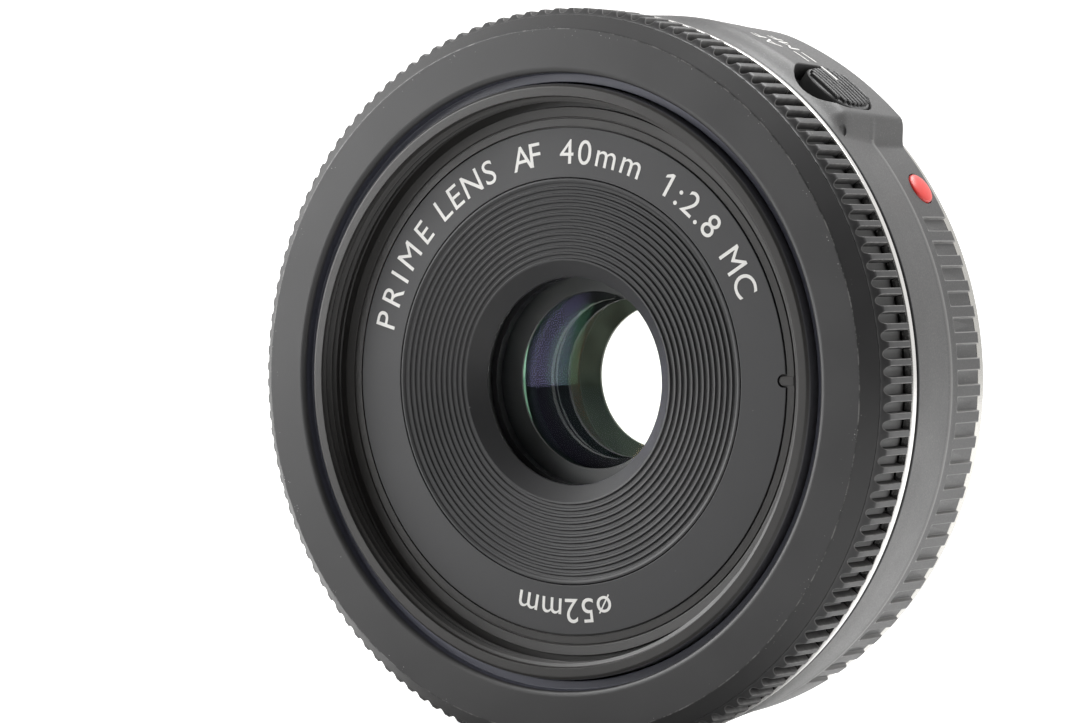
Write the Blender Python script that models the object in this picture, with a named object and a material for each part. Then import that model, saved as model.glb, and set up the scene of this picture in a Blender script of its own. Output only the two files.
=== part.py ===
"""A 40 mm f/2.8 autofocus prime lens of the flat "pancake" kind, as separate pieces.

Frame: the optical axis is Y, the front of the lens points to -Y, and +Z is up as the
lens sits on a camera. The origin is the centre of the mounting flange's rear face.
Every length below is in millimetres and every angle in degrees. The helpers turn
them into metres and radians. Angles run from +X (3 o'clock, seen from the front)
towards +Z (12 o'clock).
"""

import math

import bmesh
import bpy
from mathutils import Matrix

MM = 0.001

# ---- Driving dimensions -------------------------------------------------------------

MAX_RADIUS = 34.1  # over the ribs of the focus ring
FRONT_Y = -22.8  # front rim of the filter ring
GAP = 0.1  # play between pieces that touch
OUTER_SEGMENTS = 68  # facets round the rings that show outside
INNER_SEGMENTS = 32

# Focus ring
FOCUS_FACE_Y = -22.7
FOCUS_REAR_Y = -16.7
FOCUS_INNER_RADIUS = 28.1
FOCUS_INNER_CHAMFER = 0.35
FOCUS_FACE_RADIUS = 32.14
FOCUS_BORE_RADIUS = 31.75
RIB_COUNT = 136
RIB_GROOVE_WIDTH = 0.98
RIB_FLOOR_RADIUS = 33.45
RIB_FRONT_Y = -21.4

# Fixed barrel
SLEEVE_RADIUS = 31.5
BARREL_BORE_RADIUS = 30.3
BARREL_FRONT_Y = -15.2
BARREL_REAR_Y = -1.3
BARREL_FRONT_RADIUS = 33.85
BARREL_RIDGE_RADIUS = 33.05
BARREL_GRIP_RADIUS = 32.7
BARREL_RIDGE_Y = -7.7
GRIP_PITCH = 4.2
GRIP_COUNT = 21
GRIP_FIRST_ANGLE = 24.9
GRIP_FRONT_Y = -5.7
GRIP_WIDTH = 1.3
GRIP_DEPTH = 0.4
INDEX_DOT_ANGLE = 31.4
INDEX_DOT_Y = -3.4
INDEX_DOT_RADIUS = 1.5
INDEX_DOT_TOP = 33.05

# Raised plateau that carries the focus mode switch
PLATEAU_WALL = (39.4, 43.6)  # steep side: foot and top edge
PLATEAU_RAMP = (66.0, 88.0)  # gentle side: top edge and foot
PLATEAU_REAR_RADIUS = 34.35
PLATEAU_TOP_RADIUS = 34.9
SWITCH_ANGLE = 49.6
SWITCH_SLOT = (6.4, -14.3, -4.6)  # width, front end, rear end
SWITCH_FLOOR_RADIUS = 33.0
SWITCH_WINDOW = (2.4, -12.4, -6.4)
SWITCH_TRAVEL = 2.2
KNOB_TOP_RADIUS = 35.0

# Bayonet mount
FLANGE_RADIUS = 32.3
FLANGE_THICKNESS = 1.2
MOUNT_TUBE_RADIUS = 25.3
MOUNT_BORE_RADIUS = 23.9
MOUNT_TUBE_LENGTH = 5.0
LUG_RADIUS = 27.0
LUG_SPAN = 52.0
LUG_ANGLES = (30.0, 150.0, 270.0)
LUG_Y = (1.9, 3.4)
MOUNT_SCREW_RADIUS = 29.2
MOUNT_SCREW_ANGLES = (40.0, 130.0, 220.0, 310.0)
SCREW_BORE = 0.85
COUNTERSINK_RADIUS = 1.85
LOCK_SLOT_RADIUS = 29.6
CONTACT_ANGLE = 270.0
CONTACT_COUNT = 7
CONTACT_PITCH = 8.6
CONTACT_RADIUS = 21.9
CONTACT_BLOCK = (19.9, 23.7, 70.0)
BAFFLE_SCREW_RADIUS = 18.6
BAFFLE_SCREW_ANGLES = (30.0, 150.0)
# Chips on the circuit board: angle, radial size, size along the arc
BOARD_CHIPS = ((240.0, 3.4, 3.4), (200.0, 2.6, 4.4), (320.0, 2.0, 3.0), (350.0, 2.4, 2.4))

# Focusing drive: a cam ring turned by a stepping motor pushes the optical unit out
FOCUS_TRAVEL = 7.2
CAM_ANGLE = 90.0
FOLLOWER_Y = -6.8
FOLLOWER_RADIUS = 0.9
FOLLOWER_ANGLES = (90.0, 210.0, 330.0)
SLOT_WIDTH = 2.2
GUIDE_RADII = (17.0, 17.9)
CAM_RADII = (18.1, 19.3)
CAM_FRONT_Y = -16.0
CAM_REAR_Y = -4.5
PLATE_Y = (-4.2, -3.3)
GEAR_MODULE = 0.4
CAM_TEETH = 102
IDLER_TEETH = 20
PINION_TEETH = 10
GEAR_Y = (-5.5, -4.6)
IDLER_ANGLE = 136.4
MOTOR_RADIUS = 4.5
MOTOR_CENTRE_RADIUS = 25.5

# Iris diaphragm
BLADE_COUNT = 7
BLADE_PIVOT_RADIUS = 12.1
BLADE_INNER_RADIUS = 7.7
BLADE_OUTER_RADIUS = 11.4
BLADE_WIDE_RADIUS = 12.1  # short of the next pivot pin, so that the closed iris has no gaps
BLADE_TIP_ANGLE = 80.0
BLADE_PIN_ANGLE = 8.0
BLADE_THICKNESS = 0.1
BLADE_LEVEL = 0.17
FIRST_BLADE_Y = -10.75
BLADE_TURN = 31.5
DRIVE_RING_TURN = 25.2
DRIVE_RING_Y = (-9.4, -8.75)
IRIS_OPENING_RADIUS = 7.5
APERTURE_MOTOR_RADIUS = 1.6
APERTURE_MOTOR_PLACE = (13.1, 100.0)

# Finishes: linear RGB, roughness and how metallic
BLACK_PLASTIC = ((0.02, 0.02, 0.02), 0.5)
BARREL_PLASTIC = ((0.07, 0.07, 0.072), 0.5)
DARK_GREY_PLASTIC = ((0.04, 0.04, 0.042), 0.45)
SILVER = ((0.86, 0.86, 0.85), 0.22, 1.0)
PLATED_STEEL = ((0.5, 0.5, 0.5), 0.3, 1.0)
DARK_STEEL = ((0.3, 0.3, 0.31), 0.35, 1.0)
BRASS = ((0.8, 0.65, 0.35), 0.3, 1.0)
GOLD = ((0.9, 0.65, 0.25), 0.25, 1.0)
ACETAL = ((0.8, 0.78, 0.7), 0.4)
RED_PAINT = ((0.72, 0.03, 0.03), 0.35)
AMBER_FILM = ((0.5, 0.25, 0.05), 0.4)
GREEN_BOARD = ((0.03, 0.16, 0.06), 0.4)
GLASS = ((0.75, 0.8, 0.85), 0.05)


# ---- Helpers ------------------------------------------------------------------------


def clear_scene():
    for obj in list(bpy.data.objects):
        bpy.data.objects.remove(obj, do_unlink=True)


def make_look(name, colour, roughness, metallic=0.0):
    """One Principled material: colour is linear RGB."""
    look = bpy.data.materials.new(name)
    look.use_nodes = True
    shader = look.node_tree.nodes["Principled BSDF"]
    shader.inputs["Base Color"].default_value = (*colour, 1.0)
    shader.inputs["Roughness"].default_value = roughness
    shader.inputs["Metallic"].default_value = metallic
    look.diffuse_color = (*colour, 1.0)
    return look


def polar(radius, angle):
    """(x, z) in millimetres of a point at this radius and angle."""
    turn = math.radians(angle)
    return radius * math.cos(turn), radius * math.sin(turn)


def even_angles(count, start=0.0):
    return [start + 360.0 * step / count for step in range(count)]


def link(name, bm, look=None, pivot=(0.0, 0.0)):
    """Turns a bmesh, in millimetres, into an object whose origin is pivot = (x, z)."""
    bmesh.ops.recalc_face_normals(bm, faces=bm.faces)
    shift = Matrix.Translation((-pivot[0], 0.0, -pivot[1]))
    bm.transform(Matrix.Scale(MM, 4) @ shift)
    mesh = bpy.data.meshes.new(name)
    bm.to_mesh(mesh)
    bm.free()
    mesh.shade_smooth()
    mesh.set_sharp_from_angle(angle=math.radians(32.0))
    if look:
        mesh.materials.append(make_look(name, *look))
    obj = bpy.data.objects.new(name, mesh)
    obj.location = (pivot[0] * MM, 0.0, pivot[1] * MM)
    bpy.context.scene.collection.objects.link(obj)
    return obj


def combine(obj, helper, operation):
    """Adds a Boolean modifier whose operand stays hidden in the scene."""
    helper.hide_render = True
    helper.display_type = "WIRE"
    modifier = obj.modifiers.new(helper.name, "BOOLEAN")
    modifier.operation = operation
    modifier.object = helper


def cut(obj, helper):
    combine(obj, helper, "DIFFERENCE")


def join(obj, helper):
    combine(obj, helper, "UNION")


def add_turned(bm, profile, angles, radius_of=None):
    """Turns a closed (radius, y) outline round the axis. radius_of(radius, y, angle)
    may change the radius along the way. A point on the axis becomes one vertex."""
    rows = []
    for radius, y in profile:
        if radius == 0.0:
            rows.append([bm.verts.new((0.0, y, 0.0))] * len(angles))
            continue
        row = []
        for angle in angles:
            here = radius_of(radius, y, angle) if radius_of else radius
            x, z = polar(here, angle)
            row.append(bm.verts.new((x, y, z)))
        rows.append(row)
    for row, after in zip(rows, rows[1:] + rows[:1]):
        for step in range(len(angles)):
            back = step - 1
            corners = [row[back], row[step], after[step], after[back]]
            corners = [vert for at, vert in enumerate(corners) if vert is not corners[at - 1]]
            if len(corners) > 2:
                bm.faces.new(corners)


def turned(name, profile, look, segments=INNER_SEGMENTS, radius_of=None, angles=None):
    bm = bmesh.new()
    add_turned(bm, profile, angles or even_angles(segments), radius_of)
    return link(name, bm, look)


def add_prism(bm, near, far):
    """A closed prism between two loops of as many points."""
    near = [bm.verts.new(point) for point in near]
    far = [bm.verts.new(point) for point in far]
    bm.faces.new(near)
    bm.faces.new(far[::-1])
    for step in range(len(near)):
        bm.faces.new([near[step - 1], near[step], far[step], far[step - 1]])


def add_axial_prism(bm, outline, y_front, y_rear):
    """Extrudes an outline of (x, z) points along the axis."""
    near = [(x, y_front, z) for x, z in outline]
    far = [(x, y_rear, z) for x, z in outline]
    add_prism(bm, near, far)


def add_radial_prism(bm, outline, radius_in, radius_out, angle):
    """Extrudes an outline of (sideways, y) points outward along one radius."""
    turn = math.radians(angle)
    cosine, sine = math.cos(turn), math.sin(turn)
    loops = []
    for radius in (radius_in, radius_out):
        loop = []
        for side, y in outline:
            loop.append((radius * cosine - side * sine, y, radius * sine + side * cosine))
        loops.append(loop)
    add_prism(bm, *loops)


def turn_about(point, centre, angle):
    turn = math.radians(angle)
    x, z = point[0] - centre[0], point[1] - centre[1]
    return (
        centre[0] + x * math.cos(turn) - z * math.sin(turn),
        centre[1] + x * math.sin(turn) + z * math.cos(turn),
    )


def circle(radius, steps, centre=(0.0, 0.0), start=0.0):
    points = []
    for angle in even_angles(steps, start):
        x, z = polar(radius, angle)
        points.append((centre[0] + x, centre[1] + z))
    return points


def rectangle(width, front, rear):
    half = width / 2
    return [(-half, front), (half, front), (half, rear), (-half, rear)]


def stadium(width, front, rear, steps=6):
    """A slot outline along the axis with half-round ends."""
    half = width / 2
    points = []
    for step in range(steps + 1):
        turn = math.pi * step / steps
        points.append((half * math.cos(turn), front + half - half * math.sin(turn)))
    for step in range(steps + 1):
        turn = math.pi * step / steps
        points.append((-half * math.cos(turn), rear - half + half * math.sin(turn)))
    return points


def arc(radius, first, last, steps):
    points = []
    for step in range(steps + 1):
        points.append(polar(radius, first + (last - first) * step / steps))
    return points


def sector(radius_in, radius_out, middle, span, steps):
    """Outline of a piece of a flat ring."""
    first, last = middle - span / 2, middle + span / 2
    return arc(radius_out, first, last, steps) + arc(radius_in, last, first, steps)


def axial_solid(name, outline, y_front, y_rear, look=None, pivot=(0.0, 0.0)):
    bm = bmesh.new()
    add_axial_prism(bm, outline, y_front, y_rear)
    return link(name, bm, look, pivot)


def tube(radius_in, radius_out, y_front, y_rear):
    """Profile of a plain ring."""
    return [
        (radius_out, y_front),
        (radius_out, y_rear),
        (radius_in, y_rear),
        (radius_in, y_front),
    ]


def holes(name, centres, radius, y_front, y_rear, steps=10):
    """One cutter of several round holes along the axis."""
    bm = bmesh.new()
    for centre in centres:
        add_axial_prism(bm, circle(radius, steps, centre), y_front, y_rear)
    return link(name, bm)


def blend(low, high, value):
    """0 to 1 as value goes from low to high, with soft ends."""
    part = min(1.0, max(0.0, (value - low) / (high - low)))
    return part * part * (3.0 - 2.0 * part)


# ---- Focus ring ---------------------------------------------------------------------


def build_focus_ring():
    profile = [
        (FOCUS_INNER_RADIUS, FOCUS_FACE_Y + FOCUS_INNER_CHAMFER),
        (FOCUS_INNER_RADIUS + FOCUS_INNER_CHAMFER, FOCUS_FACE_Y),
        (FOCUS_FACE_RADIUS, FOCUS_FACE_Y),
        (33.45, -21.3),
        (MAX_RADIUS, -20.6),
        (MAX_RADIUS, -16.9),
        (33.9, FOCUS_REAR_Y),
        (FOCUS_BORE_RADIUS, FOCUS_REAR_Y),
        (FOCUS_BORE_RADIUS, -21.2),
        (FOCUS_INNER_RADIUS, -21.2),
    ]
    ring = turned("focus_ring", profile, BLACK_PLASTIC, OUTER_SEGMENTS)
    grooves = bmesh.new()
    pitch = 360.0 / RIB_COUNT
    outline = rectangle(RIB_GROOVE_WIDTH, RIB_FRONT_Y, FOCUS_REAR_Y + 1.0)
    for index in range(RIB_COUNT):
        angle = pitch * (index + 0.5)
        add_radial_prism(grooves, outline, RIB_FLOOR_RADIUS, MAX_RADIUS + 1.0, angle)
    cut(ring, link("focus_rib_grooves", grooves))


def build_focus_encoder():
    """A thin comb inside the focus ring, and the light gate that counts its teeth."""
    profile = [
        (28.9, -21.1),
        (30.0, -21.1),
        (30.0, -20.75),
        (29.3, -20.75),
        (29.3, -18.4),
        (28.9, -18.4),
    ]
    comb = turned("focus_encoder_comb", profile, BLACK_PLASTIC, 30)
    gaps = bmesh.new()
    for angle in even_angles(15, 6.0):
        add_radial_prism(gaps, rectangle(1.5, -20.2, -17.0), 28.0, 30.0, angle)
    cut(comb, link("focus_encoder_gaps", gaps))

    gate = bmesh.new()
    outline = [
        (27.5, -19.6),
        (28.6, -19.6),
        (28.6, -17.9),
        (29.6, -17.9),
        (29.6, -19.6),
        (30.15, -19.6),
        (30.15, -15.4),
        (27.5, -15.4),
    ]
    loops = []
    for side in (-2.1, 2.1):
        loops.append([(radius, y, side) for radius, y in outline])
    add_prism(gate, *loops)
    gate.transform(Matrix.Rotation(math.radians(-200.0), 4, "Y"))
    link("focus_light_gate", gate, BLACK_PLASTIC)


# ---- Fixed barrel -------------------------------------------------------------------


def plateau_top(y):
    """Radius of the plateau's top at y."""
    rise = blend(BARREL_FRONT_Y, -12.6, y)
    top = BARREL_FRONT_RADIUS + (PLATEAU_TOP_RADIUS - BARREL_FRONT_RADIUS) * rise
    slope = max(0.0, y + 12.0) / (12.0 + BARREL_REAR_Y)
    return top + (PLATEAU_REAR_RADIUS - PLATEAU_TOP_RADIUS) * slope


def barrel_radius(radius, y, angle):
    """The barrel's outside, with the plateau's swelling added."""
    if radius < BARREL_GRIP_RADIUS - 0.5:
        return radius
    angle = angle % 360.0
    height = blend(*PLATEAU_WALL, angle) * (1.0 - blend(*PLATEAU_RAMP, angle))
    return radius + (plateau_top(y) - radius) * height


def barrel_angles():
    """Facets 6 degrees wide, and finer ones over the plateau."""
    coarse = [90.0 + 6.0 * step for step in range(51)]
    wall = [396.0, 399.4, 400.8, 402.2, 403.6]
    top_and_ramp = [407.0 + 3.0 * step for step in range(14)]
    return coarse + wall + top_and_ramp


def build_rear_barrel():
    profile = [
        (BARREL_BORE_RADIUS, -20.6),
        (SLEEVE_RADIUS, -20.6),
        (SLEEVE_RADIUS, BARREL_FRONT_Y),
        (BARREL_FRONT_RADIUS, BARREL_FRONT_Y),
        (33.75, -13.9),
        (33.6, -12.6),
        (BARREL_RIDGE_RADIUS, BARREL_RIDGE_Y),
        (BARREL_GRIP_RADIUS, -7.0),
        (BARREL_GRIP_RADIUS, -1.6),
        (BARREL_GRIP_RADIUS - 0.3, BARREL_REAR_Y),
        (24.4, BARREL_REAR_Y),
        (24.4, -3.2),
        (BARREL_BORE_RADIUS, -3.2),
    ]
    barrel = turned(
        "rear_barrel", profile, BARREL_PLASTIC, radius_of=barrel_radius, angles=barrel_angles()
    )

    pockets = bmesh.new()
    outline = rectangle(GRIP_WIDTH, GRIP_FRONT_Y, BARREL_REAR_Y + 1.0)
    for index in range(GRIP_COUNT):
        angle = GRIP_FIRST_ANGLE - GRIP_PITCH * index
        for side_angle in (angle, 180.0 - angle):
            floor = BARREL_GRIP_RADIUS - GRIP_DEPTH
            add_radial_prism(pockets, outline, floor, floor + 1.5, side_angle)
    cut(barrel, link("grip_pockets", pockets))

    recess = bmesh.new()
    width, front, rear = SWITCH_SLOT
    top = MAX_RADIUS + 3.0
    add_radial_prism(
        recess, stadium(width, front, rear), SWITCH_FLOOR_RADIUS, top, SWITCH_ANGLE
    )
    cut(barrel, link("switch_recess", recess))
    window = bmesh.new()
    inner = SLEEVE_RADIUS - 3.5
    add_radial_prism(
        window, rectangle(*SWITCH_WINDOW), inner, SWITCH_FLOOR_RADIUS + 0.5, SWITCH_ANGLE
    )
    cut(barrel, link("switch_window", window))

    dot_hole = bmesh.new()
    outline = index_dot_outline(INDEX_DOT_RADIUS + GAP)
    floor = INDEX_DOT_TOP - 1.05
    add_radial_prism(dot_hole, outline, floor, floor + 2.0, INDEX_DOT_ANGLE)
    cut(barrel, link("index_dot_hole", dot_hole))

    centres = [polar(MOUNT_SCREW_RADIUS, angle) for angle in MOUNT_SCREW_ANGLES]
    cut(barrel, holes("barrel_screw_holes", centres, SCREW_BORE, -4.0, 0.0))


def index_dot_outline(radius):
    return [(side, INDEX_DOT_Y + y) for side, y in circle(radius, 14)]


def build_index_dot():
    bm = bmesh.new()
    bottom = INDEX_DOT_TOP - 0.95
    add_radial_prism(
        bm, index_dot_outline(INDEX_DOT_RADIUS), bottom, INDEX_DOT_TOP, INDEX_DOT_ANGLE
    )
    link("mount_index_dot", bm, RED_PAINT)


def build_trim_ring():
    profile = [
        (31.65, -16.5),
        (34.0, -16.5),
        (34.0, -15.7),
        (31.65, -15.7),
    ]
    turned("silver_trim_ring", profile, SILVER, OUTER_SEGMENTS)


def build_switch():
    width, front, rear = SWITCH_SLOT
    knob_rear = rear - GAP
    knob_front = front + 2 * GAP + SWITCH_TRAVEL
    bm = bmesh.new()
    outline = stadium(width - 3 * GAP, knob_front, knob_rear)
    add_radial_prism(
        bm, outline, SWITCH_FLOOR_RADIUS + 0.15, KNOB_TOP_RADIUS, SWITCH_ANGLE
    )
    knob = link("switch_knob", bm, DARK_GREY_PLASTIC)
    stem = bmesh.new()
    outline = rectangle(1.9, -9.9, -6.6)
    add_radial_prism(stem, outline, 29.9, 34.0, SWITCH_ANGLE)
    join(knob, link("switch_stem", stem))

    brush = bmesh.new()
    add_radial_prism(brush, rectangle(3.0, -10.6, -6.0), 29.5, 29.8, SWITCH_ANGLE)
    link("switch_brush", brush, BRASS)


# ---- Bayonet mount ------------------------------------------------------------------


def build_mount():
    profile = [
        (MOUNT_BORE_RADIUS, -FLANGE_THICKNESS),
        (FLANGE_RADIUS, -FLANGE_THICKNESS),
        (FLANGE_RADIUS, 0.0),
        (MOUNT_TUBE_RADIUS, 0.0),
        (MOUNT_TUBE_RADIUS, MOUNT_TUBE_LENGTH),
        (MOUNT_BORE_RADIUS, MOUNT_TUBE_LENGTH),
    ]
    mount = turned("bayonet_mount", profile, PLATED_STEEL, OUTER_SEGMENTS)
    for index, angle in enumerate(LUG_ANGLES):
        outline = sector(MOUNT_TUBE_RADIUS - 0.7, LUG_RADIUS, angle, LUG_SPAN, 12)
        join(mount, axial_solid(f"bayonet_lug_{index + 1}", outline, *LUG_Y))

    centres = [polar(MOUNT_SCREW_RADIUS, angle) for angle in MOUNT_SCREW_ANGLES]
    bores = bmesh.new()
    for centre in centres:
        near = [(x, -2.0, z) for x, z in circle(SCREW_BORE, 12, centre)]
        far = [(x, 1.0, z) for x, z in circle(COUNTERSINK_RADIUS + 1.0, 12, centre)]
        add_prism(bores, near, far)
    cut(mount, link("mount_screw_holes", bores))
    slot = bmesh.new()
    outline = [(LOCK_SLOT_RADIUS + x, z) for x, z in stadium(1.8, -1.5, 1.5)]
    add_axial_prism(slot, outline, -2.0, 1.0)
    cut(mount, link("lock_pin_slot", slot))

    for index, centre in enumerate(centres):
        add_screw(f"mount_screw_{index + 1}", centre, 1.6, 0.7, -0.05, -3.1)


def cross_outline(long, short):
    points = []
    for quarter in range(4):
        for point in ((long, -short), (long, short), (short, short)):
            points.append(turn_about(point, (0.0, 0.0), 90.0 * quarter))
    return points


def add_screw(name, centre, head_radius, shank_radius, y_head, y_tip):
    """A countersunk screw whose head faces the rear."""
    taper = head_radius - shank_radius
    profile = [
        (0.0, y_tip),
        (shank_radius, y_tip),
        (shank_radius, y_head - 0.15 - taper),
        (head_radius, y_head - 0.15),
        (head_radius, y_head),
        (0.0, y_head),
    ]
    bm = bmesh.new()
    add_turned(bm, profile, even_angles(12))
    bmesh.ops.translate(bm, verts=bm.verts, vec=(centre[0], 0.0, centre[1]))
    screw = link(name, bm, DARK_STEEL, centre)
    outline = [(centre[0] + a, centre[1] + b) for a, b in cross_outline(0.75, 0.2)]
    helper = axial_solid(name + "_cross", outline, y_head - 0.45, y_head + 0.3, None, centre)
    cut(screw, helper)


def build_rear_baffle():
    profile = [
        (23.8, 0.4),
        (23.8, 4.2),
        (23.4, 4.6),
        (14.0, 4.0),
        (13.0, 3.4),
        (13.0, 2.6),
        (14.2, 2.6),
        (22.6, 3.4),
        (22.6, 0.4),
    ]
    baffle = turned("rear_light_baffle", profile, BLACK_PLASTIC, 40)
    inner, outer, span = CONTACT_BLOCK
    outline = sector(inner - 0.2, outer + 1.3, CONTACT_ANGLE, span + 2.0, 14)
    cut(baffle, axial_solid("contact_cutout", outline, -1.0, 6.0))
    centres = [polar(BAFFLE_SCREW_RADIUS, angle) for angle in BAFFLE_SCREW_ANGLES]
    cut(baffle, holes("baffle_screw_holes", centres, 0.8, 0.0, 6.0))
    for index, centre in enumerate(centres):
        add_pan_screw(f"baffle_screw_{index + 1}", centre, 1.3, 0.6, 4.45, 4.95, -2.2)


def add_pan_screw(name, centre, head_radius, shank_radius, y_seat, y_top, y_tip):
    profile = [
        (0.0, y_tip),
        (shank_radius, y_tip),
        (shank_radius, y_seat),
        (head_radius, y_seat),
        (head_radius, y_top - 0.15),
        (head_radius - 0.25, y_top),
        (0.0, y_top),
    ]
    bm = bmesh.new()
    add_turned(bm, profile, even_angles(12))
    bmesh.ops.translate(bm, verts=bm.verts, vec=(centre[0], 0.0, centre[1]))
    link(name, bm, DARK_STEEL, centre)


def build_contacts():
    inner, outer, span = CONTACT_BLOCK
    outline = sector(inner, outer, CONTACT_ANGLE, span, 14)
    block = axial_solid("contact_block", outline, 0.2, 5.3, BLACK_PLASTIC)
    middle = (CONTACT_COUNT - 1) / 2
    pins = []
    for index in range(CONTACT_COUNT):
        angle = CONTACT_ANGLE + CONTACT_PITCH * (index - middle)
        pins.append(polar(CONTACT_RADIUS, angle))
    cut(block, holes("contact_pin_holes", pins, 0.85, -1.0, 6.0))
    for index, centre in enumerate(pins):
        profile = [
            (0.0, 0.4),
            (0.7, 0.4),
            (0.7, 5.4),
            (0.5, 5.55),
            (0.0, 5.6),
        ]
        bm = bmesh.new()
        add_turned(bm, profile, even_angles(10))
        bmesh.ops.translate(bm, verts=bm.verts, vec=(centre[0], 0.0, centre[1]))
        link(f"contact_pin_{index + 1}", bm, GOLD, centre)
    outline = sector(20.3, 20.6, CONTACT_ANGLE, 30.0, 6)
    axial_solid("contact_flex", outline, -2.35, 0.1, AMBER_FILM)


def build_circuit_board():
    outline = sector(17.4, 24.0, CONTACT_ANGLE, 300.0, 30)
    board = axial_solid("main_circuit_board", outline, -3.1, -2.5, GREEN_BOARD)
    middle = 21.0
    chips = bmesh.new()
    for angle, deep, wide in BOARD_CHIPS:
        span = math.degrees(wide / middle)
        outline = sector(middle - deep / 2, middle + deep / 2, angle, span, 1)
        add_axial_prism(chips, outline, -2.7, -1.9)
    join(board, link("circuit_board_chips", chips))


# ---- Focusing drive -----------------------------------------------------------------


def gear_outline(teeth, phase, centre=(0.0, 0.0)):
    """Trapezoidal teeth with some backlash. phase is the angle of one tooth."""
    pitch_radius = GEAR_MODULE * teeth / 2
    tip, root = pitch_radius + 0.85 * GEAR_MODULE, pitch_radius - 1.15 * GEAR_MODULE
    pitch = 360.0 / teeth
    points = []
    for tooth in range(teeth):
        middle = phase + pitch * tooth
        for radius, share in ((root, -0.3), (tip, -0.12), (tip, 0.12), (root, 0.3)):
            x, z = polar(radius, middle + share * pitch)
            points.append((centre[0] + x, centre[1] + z))
    return points


def meshing_phase(phase, teeth, other_teeth, direction):
    """Phase of a gear that meshes with one of the given phase, seen along direction."""
    turned_share = (direction - phase) * teeth / 360.0
    return direction + 180.0 - (0.5 - turned_share) * 360.0 / other_teeth


def add_gear(bm, outline, bore, y_front, y_rear, centre=(0.0, 0.0)):
    """A toothed ring with a round bore, whose bore has a point for each outline point."""
    inner = []
    for x, z in outline:
        angle = math.degrees(math.atan2(z - centre[1], x - centre[0]))
        bore_x, bore_z = polar(bore, angle)
        inner.append((centre[0] + bore_x, centre[1] + bore_z))
    loops = []
    for points, y in ((outline, y_front), (outline, y_rear), (inner, y_rear), (inner, y_front)):
        loops.append([bm.verts.new((x, y, z)) for x, z in points])
    for loop, after in zip(loops, loops[1:] + loops[:1]):
        for step in range(len(outline)):
            bm.faces.new([loop[step - 1], loop[step], after[step], after[step - 1]])


def cam_gear_sector():
    """The cam ring turns a quarter turn only, so its teeth cover little more than that."""
    pitch = 360.0 / CAM_TEETH
    spare = 2
    count = round(CAM_ANGLE / pitch) + 2 * spare + 1
    first = IDLER_ANGLE - pitch * (count - 1 - spare)
    outline = gear_outline(CAM_TEETH, first)[: 4 * count]
    last_angle = first + pitch * (count - 0.7)
    return outline + arc(CAM_RADII[0] + 0.6, last_angle, first - 0.3 * pitch, 24)


def helical_slot(bm, start_angle):
    """The cam slot's cutter: a strip that climbs as it goes round the ring."""
    extra = 6.5
    steps = 14
    half = SLOT_WIDTH / 2
    inner, outer = CAM_RADII[0] - 0.6, CAM_RADII[1] + 2.5
    rows = []
    for step in range(steps + 1):
        share = -extra + (CAM_ANGLE + 2 * extra) * step / steps
        travel = FOCUS_TRAVEL * min(1.0, max(0.0, share / CAM_ANGLE))
        y = FOLLOWER_Y - travel
        row = []
        for radius, offset in ((inner, -half), (outer, -half), (outer, half), (inner, half)):
            x, z = polar(radius, start_angle - share)
            row.append(bm.verts.new((x, y + offset, z)))
        rows.append(row)
    for row, after in zip(rows, rows[1:]):
        for corner in range(4):
            bm.faces.new([row[corner - 1], row[corner], after[corner], after[corner - 1]])
    bm.faces.new(rows[0])
    bm.faces.new(rows[-1][::-1])


def build_cam_ring():
    profile = tube(*CAM_RADII, CAM_FRONT_Y, CAM_REAR_Y)
    cam = turned("focus_cam_ring", profile, BLACK_PLASTIC, 40)
    join(cam, axial_solid("cam_ring_teeth", cam_gear_sector(), *GEAR_Y))
    slots = bmesh.new()
    for angle in FOLLOWER_ANGLES:
        helical_slot(slots, angle)
    cut(cam, link("cam_slots", slots))


def build_guide_tube():
    """The fixed tube whose straight slots keep the optical unit from turning."""
    inner, outer = GUIDE_RADII
    profile = [
        (inner, CAM_FRONT_Y - 0.2),
        (outer, CAM_FRONT_Y - 0.2),
        (outer, PLATE_Y[0]),
        (29.9, PLATE_Y[0]),
        (29.9, PLATE_Y[1]),
        (inner, PLATE_Y[1]),
    ]
    guide = turned("focus_guide_tube", profile, DARK_GREY_PLASTIC, 40)
    slots = bmesh.new()
    front = FOLLOWER_Y - FOCUS_TRAVEL - SLOT_WIDTH / 2
    outline = stadium(SLOT_WIDTH, front, FOLLOWER_Y + SLOT_WIDTH / 2, 4)
    for angle in FOLLOWER_ANGLES:
        add_radial_prism(slots, outline, inner - 1.0, outer + 1.0, angle)
    cut(guide, link("guide_slots", slots))
    axle = axial_solid("idler_axle", circle(0.6, 10, idler_centre()), -5.9, -3.8)
    join(guide, axle)


def idler_centre():
    distance = GEAR_MODULE * (CAM_TEETH + IDLER_TEETH) / 2
    return polar(distance, IDLER_ANGLE)


def motor_centre():
    """Where a pinion on the motor's circle meshes with the idler gear."""
    idler_distance = GEAR_MODULE * (CAM_TEETH + IDLER_TEETH) / 2
    reach = GEAR_MODULE * (IDLER_TEETH + PINION_TEETH) / 2
    cosine = idler_distance**2 + MOTOR_CENTRE_RADIUS**2 - reach**2
    cosine /= 2 * idler_distance * MOTOR_CENTRE_RADIUS
    return polar(MOTOR_CENTRE_RADIUS, IDLER_ANGLE + math.degrees(math.acos(cosine)))


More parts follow.
